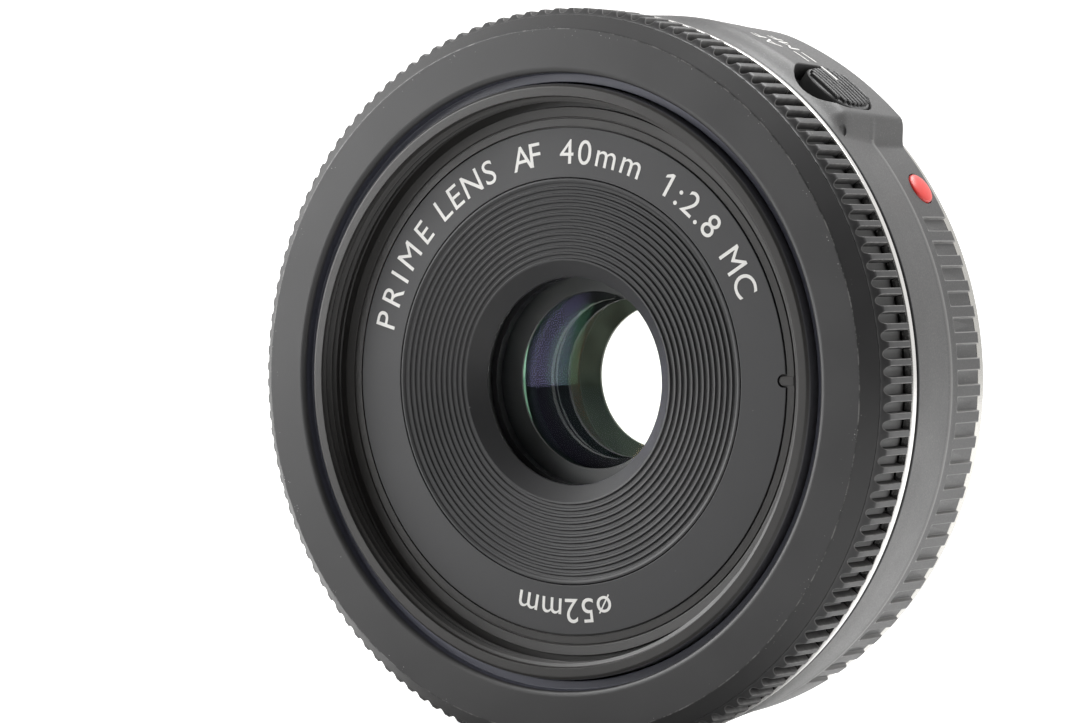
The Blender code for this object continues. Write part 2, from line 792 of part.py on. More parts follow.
def build_gear_train():
    idler, motor = idler_centre(), motor_centre()
    idler_phase = meshing_phase(IDLER_ANGLE, CAM_TEETH, IDLER_TEETH, IDLER_ANGLE)
    gear = bmesh.new()
    outline = gear_outline(IDLER_TEETH, idler_phase, idler)
    add_gear(gear, outline, 0.75, -5.6, -4.4, idler)
    link("idler_gear", gear, ACETAL, idler)

    direction = math.degrees(math.atan2(motor[1] - idler[1], motor[0] - idler[0]))
    phase = meshing_phase(idler_phase, IDLER_TEETH, PINION_TEETH, direction)
    outline = gear_outline(PINION_TEETH, phase, motor)
    pinion = axial_solid("motor_pinion", outline, -5.6, -4.4, BRASS, motor)
    join(pinion, axial_solid("motor_shaft", circle(0.45, 10, motor), -8.6, -5.0))

    outline = circle(MOTOR_RADIUS, 28, motor)
    body = axial_solid("focus_motor", outline, -12.2, -6.5, PLATED_STEEL)
    direction = math.degrees(math.atan2(motor[1], motor[0]))
    bridge = sector(24.6, 27.4, direction - 6.5, 43.0, 6)
    join(body, axial_solid("motor_bridge", bridge, -7.0, -6.7))
    for side in (-28.0, 15.0):
        foot = circle(1.2, 10, polar(MOTOR_CENTRE_RADIUS + 0.6, direction + side))
        join(body, axial_solid("motor_foot", foot, -7.2, PLATE_Y[0] - GAP))
    cut(body, axial_solid("motor_bore", circle(0.7, 10, motor), -9.0, -6.0))


# ---- Optical unit: everything that moves out together ------------------------------


def build_lens_barrel():
    profile = [
        (25.4, -12.6),
        (27.1, -12.6),
        (27.1, -19.1),
        (15.0, -19.1),
        (15.0, -12.7),
        (13.0, -12.7),
        (13.0, -11.7),
        (15.0, -11.7),
        (15.0, -5.4),
        (16.4, -5.4),
        (16.4, -17.9),
        (25.4, -17.9),
    ]
    turned("lens_barrel", profile, BLACK_PLASTIC, 36)
    for index, angle in enumerate(FOLLOWER_ANGLES):
        bm = bmesh.new()
        outline = [(side, FOLLOWER_Y + y) for side, y in circle(FOLLOWER_RADIUS, 12)]
        add_radial_prism(bm, outline, 16.5, 19.5, angle)
        link(f"cam_follower_{index + 1}", bm, BRASS)


def pill(radius_in, width):
    """The key at 3 o'clock: a tab with a round end that points to the axis."""
    half = width / 2
    points = [(24.0, half), (24.0, -half)]
    for step in range(7):
        turn = math.radians(-90.0 - 30.0 * step)
        points.append((radius_in + half + half * math.cos(turn), half * math.sin(turn)))
    return points


def build_front_rings():
    profile = [
        (25.75, -22.5),
        (26.1, FRONT_Y),
        (26.9, FRONT_Y),
        (27.14, -22.56),
        (27.14, -19.2),
        (21.5, -19.2),
        (21.5, -19.8),
        (23.35, -19.8),
        (23.35, -20.05),
        (25.4, -20.05),
        (25.75, -20.4),
    ]
    filter_ring = turned("filter_ring", profile, DARK_GREY_PLASTIC, 52)
    join(filter_ring, axial_solid("filter_ring_key", pill(22.5, 0.9), -20.05, -19.5))

    profile = [(18.66, -20.28), (23.25, -20.11), (23.25, -19.88), (18.66, -19.88)]
    name_ring = turned("name_ring", profile, DARK_GREY_PLASTIC, 52)
    cut(name_ring, axial_solid("name_ring_notch", pill(22.35, 1.2), -21.0, -19.0))

    profile = [
        (9.56, -19.04),
        (11.07, -20.3),
        (18.0, -20.28),
        (18.3, -20.36),
        (18.58, -20.28),
        (18.58, -19.5),
        (12.6, -19.5),
        (12.6, -18.35),
        (11.0, -18.35),
        (9.56, -18.85),
    ]
    turned("front_light_baffle", profile, BLACK_PLASTIC, 36)


def build_lens_cells():
    profile = [
        (12.4, -18.2),
        (12.4, -13.75),
        (14.7, -13.75),
        (14.7, -12.8),
        (12.8, -12.8),
        (12.8, -11.75),
        (9.05, -11.75),
        (9.05, -14.95),
        (8.2, -15.1),
        (8.2, -15.4),
        (10.35, -15.7),
        (10.35, -18.2),
    ]
    turned("front_lens_cell", profile, BLACK_PLASTIC)
    turned("front_retaining_ring", tube(9.7, 10.25, -17.4, -16.5), BLACK_PLASTIC)

    profile = [
        (14.7, -8.1),
        (14.7, -7.5),
        (11.3, -7.5),
        (11.3, -3.6),
        (11.9, -3.2),
        (11.9, -1.6),
        (14.6, -1.6),
        (14.6, -0.8),
        (10.7, -0.8),
        (10.7, -3.2),
        (6.8, -3.8),
        (6.8, -4.1),
        (8.7, -4.6),
        (8.7, -8.1),
    ]
    cell = turned("rear_lens_cell", profile, BLACK_PLASTIC)
    centres = [polar(*APERTURE_MOTOR_PLACE)]
    cut(cell, holes("aperture_motor_hole", centres, APERTURE_MOTOR_RADIUS + 0.15, -9.0, -7.0))
    turned("rear_retaining_ring", tube(9.9, 10.55, -1.3, -0.85), BLACK_PLASTIC)


def sagitta(curve_radius, radius):
    """Depth of a spherical surface at this radius from its vertex."""
    if curve_radius == 0.0:
        return 0.0
    size = abs(curve_radius)
    depth = size - math.sqrt(size * size - radius * radius)
    return math.copysign(depth, curve_radius)


def build_element(name, edge_radius, front, rear, segments=20, rows=2):
    """A lens element. front and rear are (vertex y, curvature radius). A positive
    radius bows the vertex towards the front, and 0 is flat."""
    profile = []
    for vertex, curve in (front, rear):
        surface = []
        for row in range(rows + 1):
            radius = edge_radius * row / rows
            surface.append((radius, vertex + sagitta(curve, radius)))
        profile.append(surface)
    outline = profile[0] + profile[1][::-1]
    turned(name, outline, GLASS, segments)


def build_elements():
    build_element("front_element", 10.2, (-18.6, 24.0), (-17.15, 40.0))
    build_element("front_doublet_crown", 8.95, (-16.3, 30.0), (-12.45, -22.0))
    build_element("front_doublet_flint", 8.95, (-12.4, -22.0), (-11.9, 0.0))
    build_element("rear_doublet_flint", 8.6, (-6.05, -20.0), (-5.6, 0.0))
    build_element("rear_doublet_crown", 8.6, (-5.55, 0.0), (-3.75, -30.0))
    build_element("rear_element", 10.55, (-3.0, 0.0), (-0.15, -40.0))


# ---- Iris ---------------------------------------------------------------------------


def blade_outline():
    """A blade whose pivot is at 0 degrees: a crescent with an ear that holds its pins."""
    points = arc(BLADE_INNER_RADIUS, -4.0, BLADE_TIP_ANGLE, 9)
    points.append(polar(9.4, BLADE_TIP_ANGLE + 5.0))
    points += arc(BLADE_OUTER_RADIUS, BLADE_TIP_ANGLE, 53.0, 4)
    points += arc(BLADE_WIDE_RADIUS, 46.0, 16.0, 5)
    points += arc(BLADE_PIVOT_RADIUS + 0.85, 11.0, -4.0, 4)
    return points


def build_blades():
    for index in range(BLADE_COUNT):
        turn = 360.0 * index / BLADE_COUNT
        front = FIRST_BLADE_Y + BLADE_LEVEL * index
        rear = front + BLADE_THICKNESS
        pivot = polar(BLADE_PIVOT_RADIUS, turn)
        pin = polar(BLADE_PIVOT_RADIUS, turn + BLADE_PIN_ANGLE)
        outline = [turn_about(point, (0.0, 0.0), turn) for point in blade_outline()]
        name = f"aperture_blade_{index + 1}"
        blade = axial_solid(name, outline, front, rear, BLACK_PLASTIC, pivot)
        middle = (front + rear) / 2
        pins = bmesh.new()
        add_axial_prism(pins, circle(0.35, 8, pivot), -11.25, middle)
        add_axial_prism(pins, circle(0.35, 8, pin), middle, -8.85)
        join(blade, link(name + "_pins", pins, pivot=pivot))


def drive_slot(bm, turn):
    """The slot of the drive ring that one blade's pin runs in, swept by the pin."""
    clear = 0.5
    steps = 6
    left, right = [], []
    path = []
    for step in range(-1, steps + 2):
        share = step / steps
        pivot = polar(BLADE_PIVOT_RADIUS, turn)
        pin = polar(BLADE_PIVOT_RADIUS, turn + BLADE_PIN_ANGLE)
        moved = turn_about(pin, pivot, BLADE_TURN * min(1.0, max(0.0, share)))
        path.append(turn_about(moved, (0.0, 0.0), -DRIVE_RING_TURN * share))
    for before, after in zip(path, path[1:]):
        angle = math.atan2(after[1] - before[1], after[0] - before[0])
        side = (-math.sin(angle) * clear, math.cos(angle) * clear)
        left.append(((before[0] + after[0]) / 2 + side[0], (before[1] + after[1]) / 2 + side[1]))
        right.append(((before[0] + after[0]) / 2 - side[0], (before[1] + after[1]) / 2 - side[1]))
    add_axial_prism(bm, left + right[::-1], DRIVE_RING_Y[0] - 1.0, DRIVE_RING_Y[1] + 1.0)


def build_diaphragm():
    profile = [
        (IRIS_OPENING_RADIUS, -11.5),
        (14.7, -11.5),
        (14.7, -8.9),
        (13.6, -8.9),
        (13.6, -11.0),
        (IRIS_OPENING_RADIUS, -11.0),
    ]
    base = turned("diaphragm_base", profile, BLACK_PLASTIC, 35)
    pivots = []
    for index in range(BLADE_COUNT):
        pivots.append(polar(BLADE_PIVOT_RADIUS, 360.0 * index / BLADE_COUNT))
    cut(base, holes("blade_pivot_holes", pivots, 0.45, -12.0, -10.0, 8))

    profile = tube(10.2, 13.4, *DRIVE_RING_Y)
    ring = turned("diaphragm_drive_ring", profile, BLACK_PLASTIC, 35)
    slots = bmesh.new()
    for index in range(BLADE_COUNT):
        drive_slot(slots, 360.0 * index / BLADE_COUNT)
    cut(ring, link("drive_ring_slots", slots))

    profile = tube(IRIS_OPENING_RADIUS, 14.7, -8.6, -8.2)
    turned("diaphragm_cover", profile, BLACK_PLASTIC, 35)
    outline = circle(APERTURE_MOTOR_RADIUS, 16, polar(*APERTURE_MOTOR_PLACE))
    axial_solid("aperture_motor", outline, -8.1, -5.7, PLATED_STEEL)


# ---- Assembly -----------------------------------------------------------------------

clear_scene()
build_focus_ring()
build_focus_encoder()
build_trim_ring()
build_rear_barrel()
build_index_dot()
build_switch()
build_mount()
build_rear_baffle()
build_contacts()
build_circuit_board()
build_guide_tube()
build_cam_ring()
build_gear_train()
build_lens_barrel()
build_front_rings()
build_lens_cells()
build_elements()
build_diaphragm()
build_blades()
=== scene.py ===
import math

import bmesh
import bpy
from mathutils import Matrix, Vector


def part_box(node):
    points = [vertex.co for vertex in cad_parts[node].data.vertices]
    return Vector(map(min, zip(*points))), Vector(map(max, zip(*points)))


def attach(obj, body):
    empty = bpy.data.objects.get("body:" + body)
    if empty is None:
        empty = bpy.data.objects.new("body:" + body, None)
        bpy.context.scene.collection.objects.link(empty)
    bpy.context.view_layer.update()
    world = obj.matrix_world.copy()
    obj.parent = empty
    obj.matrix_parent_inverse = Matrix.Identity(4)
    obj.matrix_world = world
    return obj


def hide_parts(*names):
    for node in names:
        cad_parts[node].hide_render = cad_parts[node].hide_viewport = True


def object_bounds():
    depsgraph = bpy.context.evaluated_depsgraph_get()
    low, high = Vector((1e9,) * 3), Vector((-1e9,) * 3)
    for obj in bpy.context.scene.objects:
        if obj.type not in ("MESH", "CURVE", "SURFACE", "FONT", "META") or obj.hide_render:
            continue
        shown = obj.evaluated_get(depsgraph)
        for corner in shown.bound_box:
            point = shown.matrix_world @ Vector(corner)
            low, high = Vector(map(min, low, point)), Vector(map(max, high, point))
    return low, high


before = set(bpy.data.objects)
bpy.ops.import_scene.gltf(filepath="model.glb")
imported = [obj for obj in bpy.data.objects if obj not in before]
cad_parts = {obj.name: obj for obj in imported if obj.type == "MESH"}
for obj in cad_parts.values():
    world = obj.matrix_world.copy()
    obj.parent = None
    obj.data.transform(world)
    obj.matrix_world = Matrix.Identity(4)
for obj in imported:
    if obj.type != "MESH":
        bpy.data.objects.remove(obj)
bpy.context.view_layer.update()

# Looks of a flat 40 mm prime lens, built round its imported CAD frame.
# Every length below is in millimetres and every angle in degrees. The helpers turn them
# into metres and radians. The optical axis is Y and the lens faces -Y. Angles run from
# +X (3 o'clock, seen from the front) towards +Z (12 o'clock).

MM = 0.001


def reach(node):
    """(outer radius, front y, rear y) of a round CAD node, in millimetres."""
    low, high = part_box(node)
    return high.x / MM, low.y / MM, high.y / MM


# ---- Camera and framing ----

CAMERA_PLACE = (208.81, -334.72, 8.82)
CAMERA_AZIMUTH = 33.941
CAMERA_ELEVATION = 1.054
CAMERA_ROLL = -1.021
CAMERA_LENS = 137.63
SENSOR_WIDTH = 36.0

WORLD_SEEN = 1.6  # the white background that the camera sees
WORLD_BRIGHT_SIDE = (-0.15, 0.9, 0.3)
WORLD_FADE = (-0.55, 0.5)  # from dark to bright, by the cosine to the bright side
WORLD_DARK = 0.07
WORLD_BRIGHT = 1.0
# name, place, width, height, watts, spread
SOFTBOXES = (
    ("key_softbox", (-218.0, -140.0, 88.0), 215.0, 215.0, 0.95, 180.0),
    ("top_softbox", (90.0, 150.0, 380.0), 300.0, 300.0, 0.9, 120.0),
)
FLOOR_GLOW = 0.72  # light that the table gives off behind the lens
FLOOR_GLOW_Y = (-0.06, 0.12)  # where the glow begins and is full, in metres
FLOOR_RADII = (40.0, 80.0, 140.0, 240.0, 400.0, 620.0)
FLOOR_SEGMENTS = 96

# ---- Sizes, from the frame where it has them ----

RING_RADIUS, RING_FRONT_Y, RING_REAR_Y = reach("focus_ring")
TRIM_RADIUS, TRIM_FRONT_Y, TRIM_REAR_Y = reach("silver_trim_ring")
FILTER_RADIUS, FILTER_FRONT_Y, FILTER_REAR_Y = reach("filter_ring")
NAME_RADIUS, NAME_FRONT_Y, NAME_REAR_Y = reach("name_ring")
BAFFLE_RADIUS, BAFFLE_FRONT_Y, BAFFLE_REAR_Y = reach("front_light_baffle")
FLANGE_RADIUS, FLANGE_FRONT_Y, MOUNT_REAR_Y = reach("bayonet_mount")
BARREL_REAR_Y = reach("rear_barrel")[2]

SEGMENTS = 360

# Focus ring
RIB_COUNT = 136
RIB_GROOVE = 0.98
RIB_FLOOR = 33.3
RIB_DEEP_FLOOR = 33.1
RIB_INNER = 32.2
RIB_FRONT_Y = -21.0
RING_BORE = 28.1
RING_REAR_BORE = 31.75
SEAL_RADIUS = 27.3  # light seal that the filter ring slides through
SEAL_Y = (-21.5, -21.2)
RIB_ZONE_FRONT_Y = -21.32
BAND_FRONT_RADIUS = 32.14
BAND_REAR_RADIUS = 33.42

# Barrel
SLEEVE_RADIUS = 31.5
SLEEVE_FRONT_Y = -20.6
BARREL_BORE = 30.3
CREASE_Y = -7.65
SHOULDER_Y = -15.2
SHOULDER_RADIUS = 33.85
GRIP_RADIUS = 32.7
GRIP_PITCH = 4.2
GRIP_COUNT = 21
GRIP_FIRST_ANGLE = 24.9
GRIP_WIDTH = 1.3
GRIP_FRONT_Y = -5.75
GRIP_DEPTH = 0.4
DOT_ANGLE = 31.4
DOT_Y = -3.4
DOT_RADIUS = 1.5
PLATEAU_WALL = (39.4, 43.6)
PLATEAU_RAMP = (66.0, 88.0)
PLATEAU_FRONT_RADIUS = 34.9
PLATEAU_REAR_RADIUS = 34.35
SWITCH_ANGLE = 49.6
SWITCH_WIDTH = 6.4
SWITCH_FRONT_Y = -14.3
SWITCH_REAR_Y = -4.6
SWITCH_FLOOR = 33.0
KNOB_TOP = 34.52
KNOB_RIB_TOP = 34.87
KNOB_RIBS = 9
PLATEAU_WORDS = (("AF", -10.6), ("MF", -7.5))  # with the y of their middles
PLATEAU_WORD_ANGLE = 62.3
PLATEAU_WORD_HEIGHT = 1.7
PLATEAU_WORD_RADIUS = 34.5  # where their widths are measured

# Front rings
RIDGE_COUNT = 12
RIDGE_INNER_RADIUS = 11.07
RIDGE_OUTER_RADIUS = 18.2
THREAD_PITCH = 0.75
THREAD_RADII = (25.98, 25.56)  # bore and crest
THREAD_ROW = -1.0  # stands for a radius that the thread gives
NAME_INNER_RADIUS = 18.66
NAME_OUTER_Y = -20.11  # the name ring's face at its outer edge
LETTER_BASE_RADIUS = 19.9
LETTER_HEIGHT = 2.2
LETTER_RISE = 0.022
# Words on the name ring, each with the angles where it starts and ends
NAME_WORDS = (
    ("PRIME", 165.7, 136.4),
    ("LENS", 131.5, 111.2),
    ("AF", 105.2, 96.6),
    ("40mm", 90.7, 66.2),
    ("1:2.8", 58.8, 39.4),
    ("MC", 33.6, 21.2),
    ("ø52mm", -77.6, -105.7),
)

# Bayonet side
MOUNT_TUBE_RADIUS = 25.3
MOUNT_BORE_RADIUS = 23.9
MOUNT_SCREWS = (40.0, 130.0, 220.0, 310.0)
MOUNT_SCREW_RADIUS = 29.2
LUG_ANGLES = (30.0, 150.0, 270.0)
LUG_SPAN = 52.0
PLATE_SCREWS = (30.0, 150.0)
PLATE_SCREW_RADIUS = 18.6
CONTACT_ANGLE = 270.0
CONTACT_PITCH = 8.6
CONTACT_COUNT = 7
CONTACT_RADIUS = 21.9

# ---- Small geometry helpers ----


def polar(radius, angle):
    turn = math.radians(angle)
    return radius * math.cos(turn), radius * math.sin(turn)


def even_angles(count):
    return [360.0 * step / count for step in range(count)]


def ease(low, high, value):
    """0 to 1 as value goes from low to high, with soft ends."""
    part = min(1.0, max(0.0, (value - low) / (high - low)))
    return part * part * (3.0 - 2.0 * part)


def rounded(corners, steps):
    """Rounds the corners of a closed outline. A corner is (a, b) or (a, b, size). Two
    extra points beside each corner keep the shading of the flats flat."""
    outline = []
    for index, corner in enumerate(corners):
        point = Vector(corner[:2])
        size = corner[2] if len(corner) > 2 else 0.0
        if size == 0.0:
            outline.append(point)
            continue
        before = Vector(corners[index - 1][:2]) - point
        after = Vector(corners[(index + 1) % len(corners)][:2]) - point
        size = min(size, 0.45 * before.length, 0.45 * after.length)
        start = point + before.normalized() * size
        end = point + after.normalized() * size
        outline.append(start + before.normalized() * 0.1 * size)
        for step in range(steps + 1):
            share = step / steps
            outline.append(
                start * (1 - share) ** 2 + point * 2 * share * (1 - share) + end * share**2
            )
        outline.append(end + after.normalized() * 0.1 * size)
    return [(point[0], point[1]) for point in outline]


def bridge(bm, rows, wrap=True):
    """Faces between each row of points and the next. A repeated point leaves a triangle."""
    for row, after in zip(rows, rows[1:]):
        for step in range(0 if wrap else 1, len(row)):
            corners = [row[step - 1], row[step], after[step], after[step - 1]]
            corners = list(dict.fromkeys(corners))
            if len(corners) > 2:
                bm.faces.new(corners)


def spin(bm, outline, segments=SEGMENTS, radius_of=None, angles=None):
    """Turns a closed (radius, y) outline round the axis."""
    angles = angles or even_angles(segments)
    rows = []
    for radius, y in outline:
        if radius == 0.0:
            rows.append([bm.verts.new((0.0, y, 0.0))] * len(angles))
            continue
        row = []
        for angle in angles:
            x, z = polar(radius_of(radius, y, angle) if radius_of else radius, angle)
            row.append(bm.verts.new((x, y, z)))
        rows.append(row)
    bridge(bm, rows + rows[:1])


def stack(bm, loops, strips=False):
    """A closed solid through loops of as many points, capped at both ends. A cap that
    bends is made of strips across the loop, so that it stays smooth."""
    rows = [[bm.verts.new(point) for point in loop] for loop in loops]
    for row in (rows[0], rows[-1][::-1]):
        if not strips:
            bm.faces.new(row)
            continue
        for step in range(len(row) // 2 - 1):
            bm.faces.new([row[step], row[step + 1], row[-2 - step], row[-1 - step]])
    bridge(bm, rows)


def flat_stack(bm, outline, steps):
    """A solid along the axis: each step offsets an (x, z) outline outward at a y."""
    stack(bm, [[(x, y, z) for x, z in offset(outline, out)] for out, y in steps])


def drill(bm, centre, steps, count):
    """A round solid along the axis through (radius, y) steps."""
    loops = []
    for radius, y in steps:
        ring = [polar(radius, angle) for angle in even_angles(count)]
        loops.append([(centre[0] + x, y, centre[1] + z) for x, z in ring])
    stack(bm, loops)


def on_barrel(side, y, radius, angle):
    """A point at this radius, a sideways arc length away from angle."""
    x, z = polar(radius, angle + math.degrees(side / radius))
    return x, y, z


def stadium(width, front, rear, steps):
    """Outline along the axis with half-round ends."""
    half = width / 2
    arc = [polar(half, 180.0 * step / steps) for step in range(steps + 1)]
    points = [(side, front + half - along) for side, along in arc]
    return points + [(-side, rear - half + along) for side, along in arc]


def offset(outline, distance):
    """Moves each point of an outline outward by distance."""
    ends = outline[1:] + outline[:1]
    area = sum(here[0] * after[1] - after[0] * here[1] for here, after in zip(outline, ends))
    outward = distance if area > 0.0 else -distance
    moved = []
    for index, point in enumerate(outline):
        here = Vector(point)
        before = (here - Vector(outline[index - 1])).normalized()
        after = (Vector(outline[(index + 1) % len(outline)]) - here).normalized()
        normal = Vector((before.y + after.y, -before.x - after.x))
        if normal.length < 1e-6:
            moved.append(point)
            continue
        normal.normalize()
        stretch = 1.0 / max(0.5, normal.dot(Vector((after.y, -after.x))))
        moved.append(tuple(here + normal * outward * stretch))
    return moved


def ring_outline(radius_in, radius_out, middle, span, steps):
    """Outline of a piece of a flat ring, as (x, z) points."""
    angles = [middle - span / 2 + span * step / steps for step in range(steps + 1)]
    points = [polar(radius_out, angle) for angle in angles]
    return points + [polar(radius_in, angle) for angle in reversed(angles)]


def finish_mesh(name, bm, look, smooth=32.0):
    """Turns a bmesh in millimetres into a smooth-shaded object in metres."""
    bmesh.ops.recalc_face_normals(bm, faces=bm.faces)
    bm.transform(Matrix.Scale(MM, 4))
    mesh = bpy.data.meshes.new(name)
    bm.to_mesh(mesh)
    bm.free()
    mesh.shade_smooth()
    mesh.set_sharp_from_angle(angle=math.radians(smooth))
    mesh.materials.append(look)
    obj = bpy.data.objects.new(name, mesh)
    bpy.context.scene.collection.objects.link(obj)
    return obj


def place(obj, body, slot, *nodes):
    """Rides a piece on its body and lets it stand for its CAD nodes."""
    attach(obj, body)
    if nodes:
        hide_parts(*nodes)
    return obj


def turned_mesh(name, outline, look, segments=SEGMENTS, centre=(0.0, 0.0)):
    bm = bmesh.new()
    spin(bm, outline, segments)
    bmesh.ops.translate(bm, verts=bm.verts, vec=(centre[0], 0.0, centre[1]))
    return finish_mesh(name, bm, look)


def carve(obj, bm, smooth=None):
    """Cuts a bmesh, in millimetres, out of an object and applies the cut."""
    cutter = finish_mesh(obj.name + "_cutter", bm, obj.data.materials[0])
    modifier = obj.modifiers.new("carve", "BOOLEAN")
    modifier.operation = "DIFFERENCE"
    modifier.object = cutter
    modifier.solver = "EXACT"
    graph = bpy.context.evaluated_depsgraph_get()
    mesh = bpy.data.meshes.new_from_object(obj.evaluated_get(graph))
    obj.modifiers.clear()
    old = obj.data
    obj.data = mesh
    bpy.data.meshes.remove(old)
    cut_mesh = cutter.data
    bpy.data.objects.remove(cutter)
    bpy.data.meshes.remove(cut_mesh)
    if smooth:
        mesh.shade_smooth()
        mesh.set_sharp_from_angle(angle=math.radians(smooth))


# ---- Material helpers ----


def feed(socket, value):
    """Links a socket into an input, or sets the input's value."""
    if isinstance(value, bpy.types.NodeSocket):
        socket.id_data.links.new(value, socket)
    else:
        socket.default_value = value


def add_node(tree, kind, inputs=None, **settings):
    made = tree.nodes.new(kind)
    for key, value in settings.items():
        setattr(made, key, value)
    for socket, value in (inputs or {}).items():
        feed(made.inputs[socket], value)
    return made


def map_range(tree, value, low, high, to_low=0.0, to_high=1.0):
    names = ("Value", "From Min", "From Max", "To Min", "To Max")
    inputs = dict(zip(names, (value, low, high, to_low, to_high)))
    made = add_node(tree, "ShaderNodeMapRange", inputs, interpolation_type="SMOOTHSTEP")
    return made.outputs[0]


class Look:
    """A Principled material with short ways to add nodes. Sizes are in millimetres, and
    the places that axes and radius give are in metres."""

    def __init__(self, name, colour, roughness, metallic=0.0, **settings):
        self.material = bpy.data.materials.new(name)
        self.material.use_nodes = True
        self.material.diffuse_color = (*colour, 1.0)
        self.tree = self.material.node_tree
        self.shader = self.tree.nodes["Principled BSDF"]
        self.set("Base Color", (*colour, 1.0))
        self.set("Roughness", roughness)
        self.set("Metallic", metallic)
        for socket, value in settings.items():
            self.set(socket.replace("_", " "), value)
        self.place = self.tree.nodes.new("ShaderNodeTexCoord").outputs["Object"]

    @property
    def axes(self):
        return add_node(self.tree, "ShaderNodeSeparateXYZ", {0: self.place}).outputs

    def set(self, socket, value):
        feed(self.shader.inputs[socket], value)

    def math(self, operation, first, second=0.0):
        inputs = {0: first, 1: second}
        return add_node(self.tree, "ShaderNodeMath", inputs, operation=operation).outputs[0]

    def times(self, first, *others):
        for other in others:
            first = self.math("MULTIPLY", first, other)
        return first

    def plus(self, first, second):
        return self.math("ADD", first, second)

    def minus(self, first, second):
        return self.math("SUBTRACT", first, second)

    def noise(self, size, detail=2.0, rough=0.5, stretch=None):
        """Noise whose features are about size wide. stretch scales x, y and z."""
        source = self.place
        if stretch:
            inputs = {"Scale": stretch, "Vector": source}
            source = add_node(self.tree, "ShaderNodeMapping", inputs).outputs[0]
        inputs = {"Scale": 1.0 / (size * MM), "Detail": detail, "Roughness": rough}
        inputs["Vector"] = source
        return add_node(self.tree, "ShaderNodeTexNoise", inputs).outputs[0]

    def cells(self, size):
        """Distance from the nearest of scattered points, about size apart."""
        inputs = {"Scale": 1.0 / (size * MM), "Randomness": 1.0, "Vector": self.place}
        return add_node(self.tree, "ShaderNodeTexVoronoi", inputs).outputs["Distance"]

    def remap(self, *limits):
        return map_range(self.tree, *limits)

    def radius(self):
        """Distance from the optical axis."""
        x, _, z = self.axes
        return self.math("SQRT", self.plus(self.times(x, x), self.times(z, z)))

    def wave(self, place, pitch):
        """A sine wave over a place, from 0 to 1."""
        wave = self.math("SINE", self.times(place, 2 * math.pi / (pitch * MM)))
        return self.remap(wave, -1.0, 1.0)

    def band(self, value, centre, half):
        """1 where value is at centre and 0 beyond half away."""
        away = self.math("ABSOLUTE", self.minus(value, centre * MM))
        return self.remap(away, 0.0, half * MM, 1.0, 0.0)

    def mix_base(self, share, colour, blend="MIX"):
        base = self.shader.inputs["Base Color"]
        under = base.links[0].from_socket if base.is_linked else base.default_value
        inputs = {"Factor": share, "A": under, "B": colour}
        settings = {"data_type": "RGBA", "blend_type": blend}
        feed(base, add_node(self.tree, "ShaderNodeMix", inputs, **settings).outputs["Result"])

    def tint(self, colour, share):
        """Mixes a colour over the base colour by share."""
        self.mix_base(share, (*colour, 1.0))

    def shade(self, value, low, high):
        """Multiplies the base colour by low to high as value goes from 0 to 1."""
        level = self.remap(value, 0.0, 1.0, low, high)
        grey = add_node(self.tree, "ShaderNodeCombineColor", dict.fromkeys(range(3), level))
        self.mix_base(1.0, grey.outputs[0], "MULTIPLY")

    def roughness(self, value, low, high):
        self.set("Roughness", self.remap(value, 0.3, 0.7, low, high))

    def bump(self, height, depth, strength=1.0):
        """Adds a bump whose full height is depth."""
        inputs = {"Strength": strength, "Distance": depth * MM, "Height": height}
        normal = self.shader.inputs["Normal"]
        if normal.is_linked:
            inputs["Normal"] = normal.links[0].from_socket
        feed(normal, add_node(self.tree, "ShaderNodeBump", inputs).outputs["Normal"])


COATED_IOR = 1.3  # lower than glass, as a coating makes it mirror less
# Colour of painted highlights on lit edges and on the barrel's crease line.
PAINTED_HIGHLIGHT = (0.16, 0.157, 0.155)
WORN = (0.42, 0.41, 0.4)


def dust(look, amount=1.0):
    """A few pale specks and lint, as on a used lens."""
    specks = look.remap(look.cells(2.1), 0.0, 0.05, 1.0, 0.0)
    patches = look.remap(look.noise(9.0, 3.0), 0.5, 0.66)
    look.tint((0.45, 0.44, 0.42), look.times(specks, patches, 0.5 * amount))


def moulded(name, colour, roughness, grain=0.12, depth=0.006, dusty=0.0):
    """Moulded plastic: fine grain, slight colour drift and uneven sheen."""
    look = Look(name, colour, roughness)
    fine = look.noise(grain, 3.0, 0.6)
    broad = look.noise(7.0, 4.0, 0.55)
    look.shade(broad, 0.88, 1.12)
    mixed = look.plus(look.times(fine, 0.6), look.times(broad, 0.4))
    look.roughness(mixed, roughness - 0.07, roughness + 0.09)
    look.bump(fine, depth)
    if dusty:
        dust(look, dusty)
    return look


def groove_distance(look, y):
    """Distance from the middle line of the nearest groove of the focus ring, in metres."""
    angle = look.math("ARCTAN2", look.axes[2], look.axes[0])
    turn = look.times(angle, RIB_COUNT / (2 * math.pi))
    within = look.minus(look.math("FRACT", look.plus(turn, RIB_COUNT)), 0.5)
    side = look.times(within, 2 * math.pi * RING_RADIUS / RIB_COUNT * MM)
    round_y = (RIB_FRONT_Y + RIB_GROOVE / 2) * MM
    ahead = look.math("MAXIMUM", look.minus(round_y, y), 0.0)
    return look.math("SQRT", look.plus(look.times(side, side), look.times(ahead, ahead)))


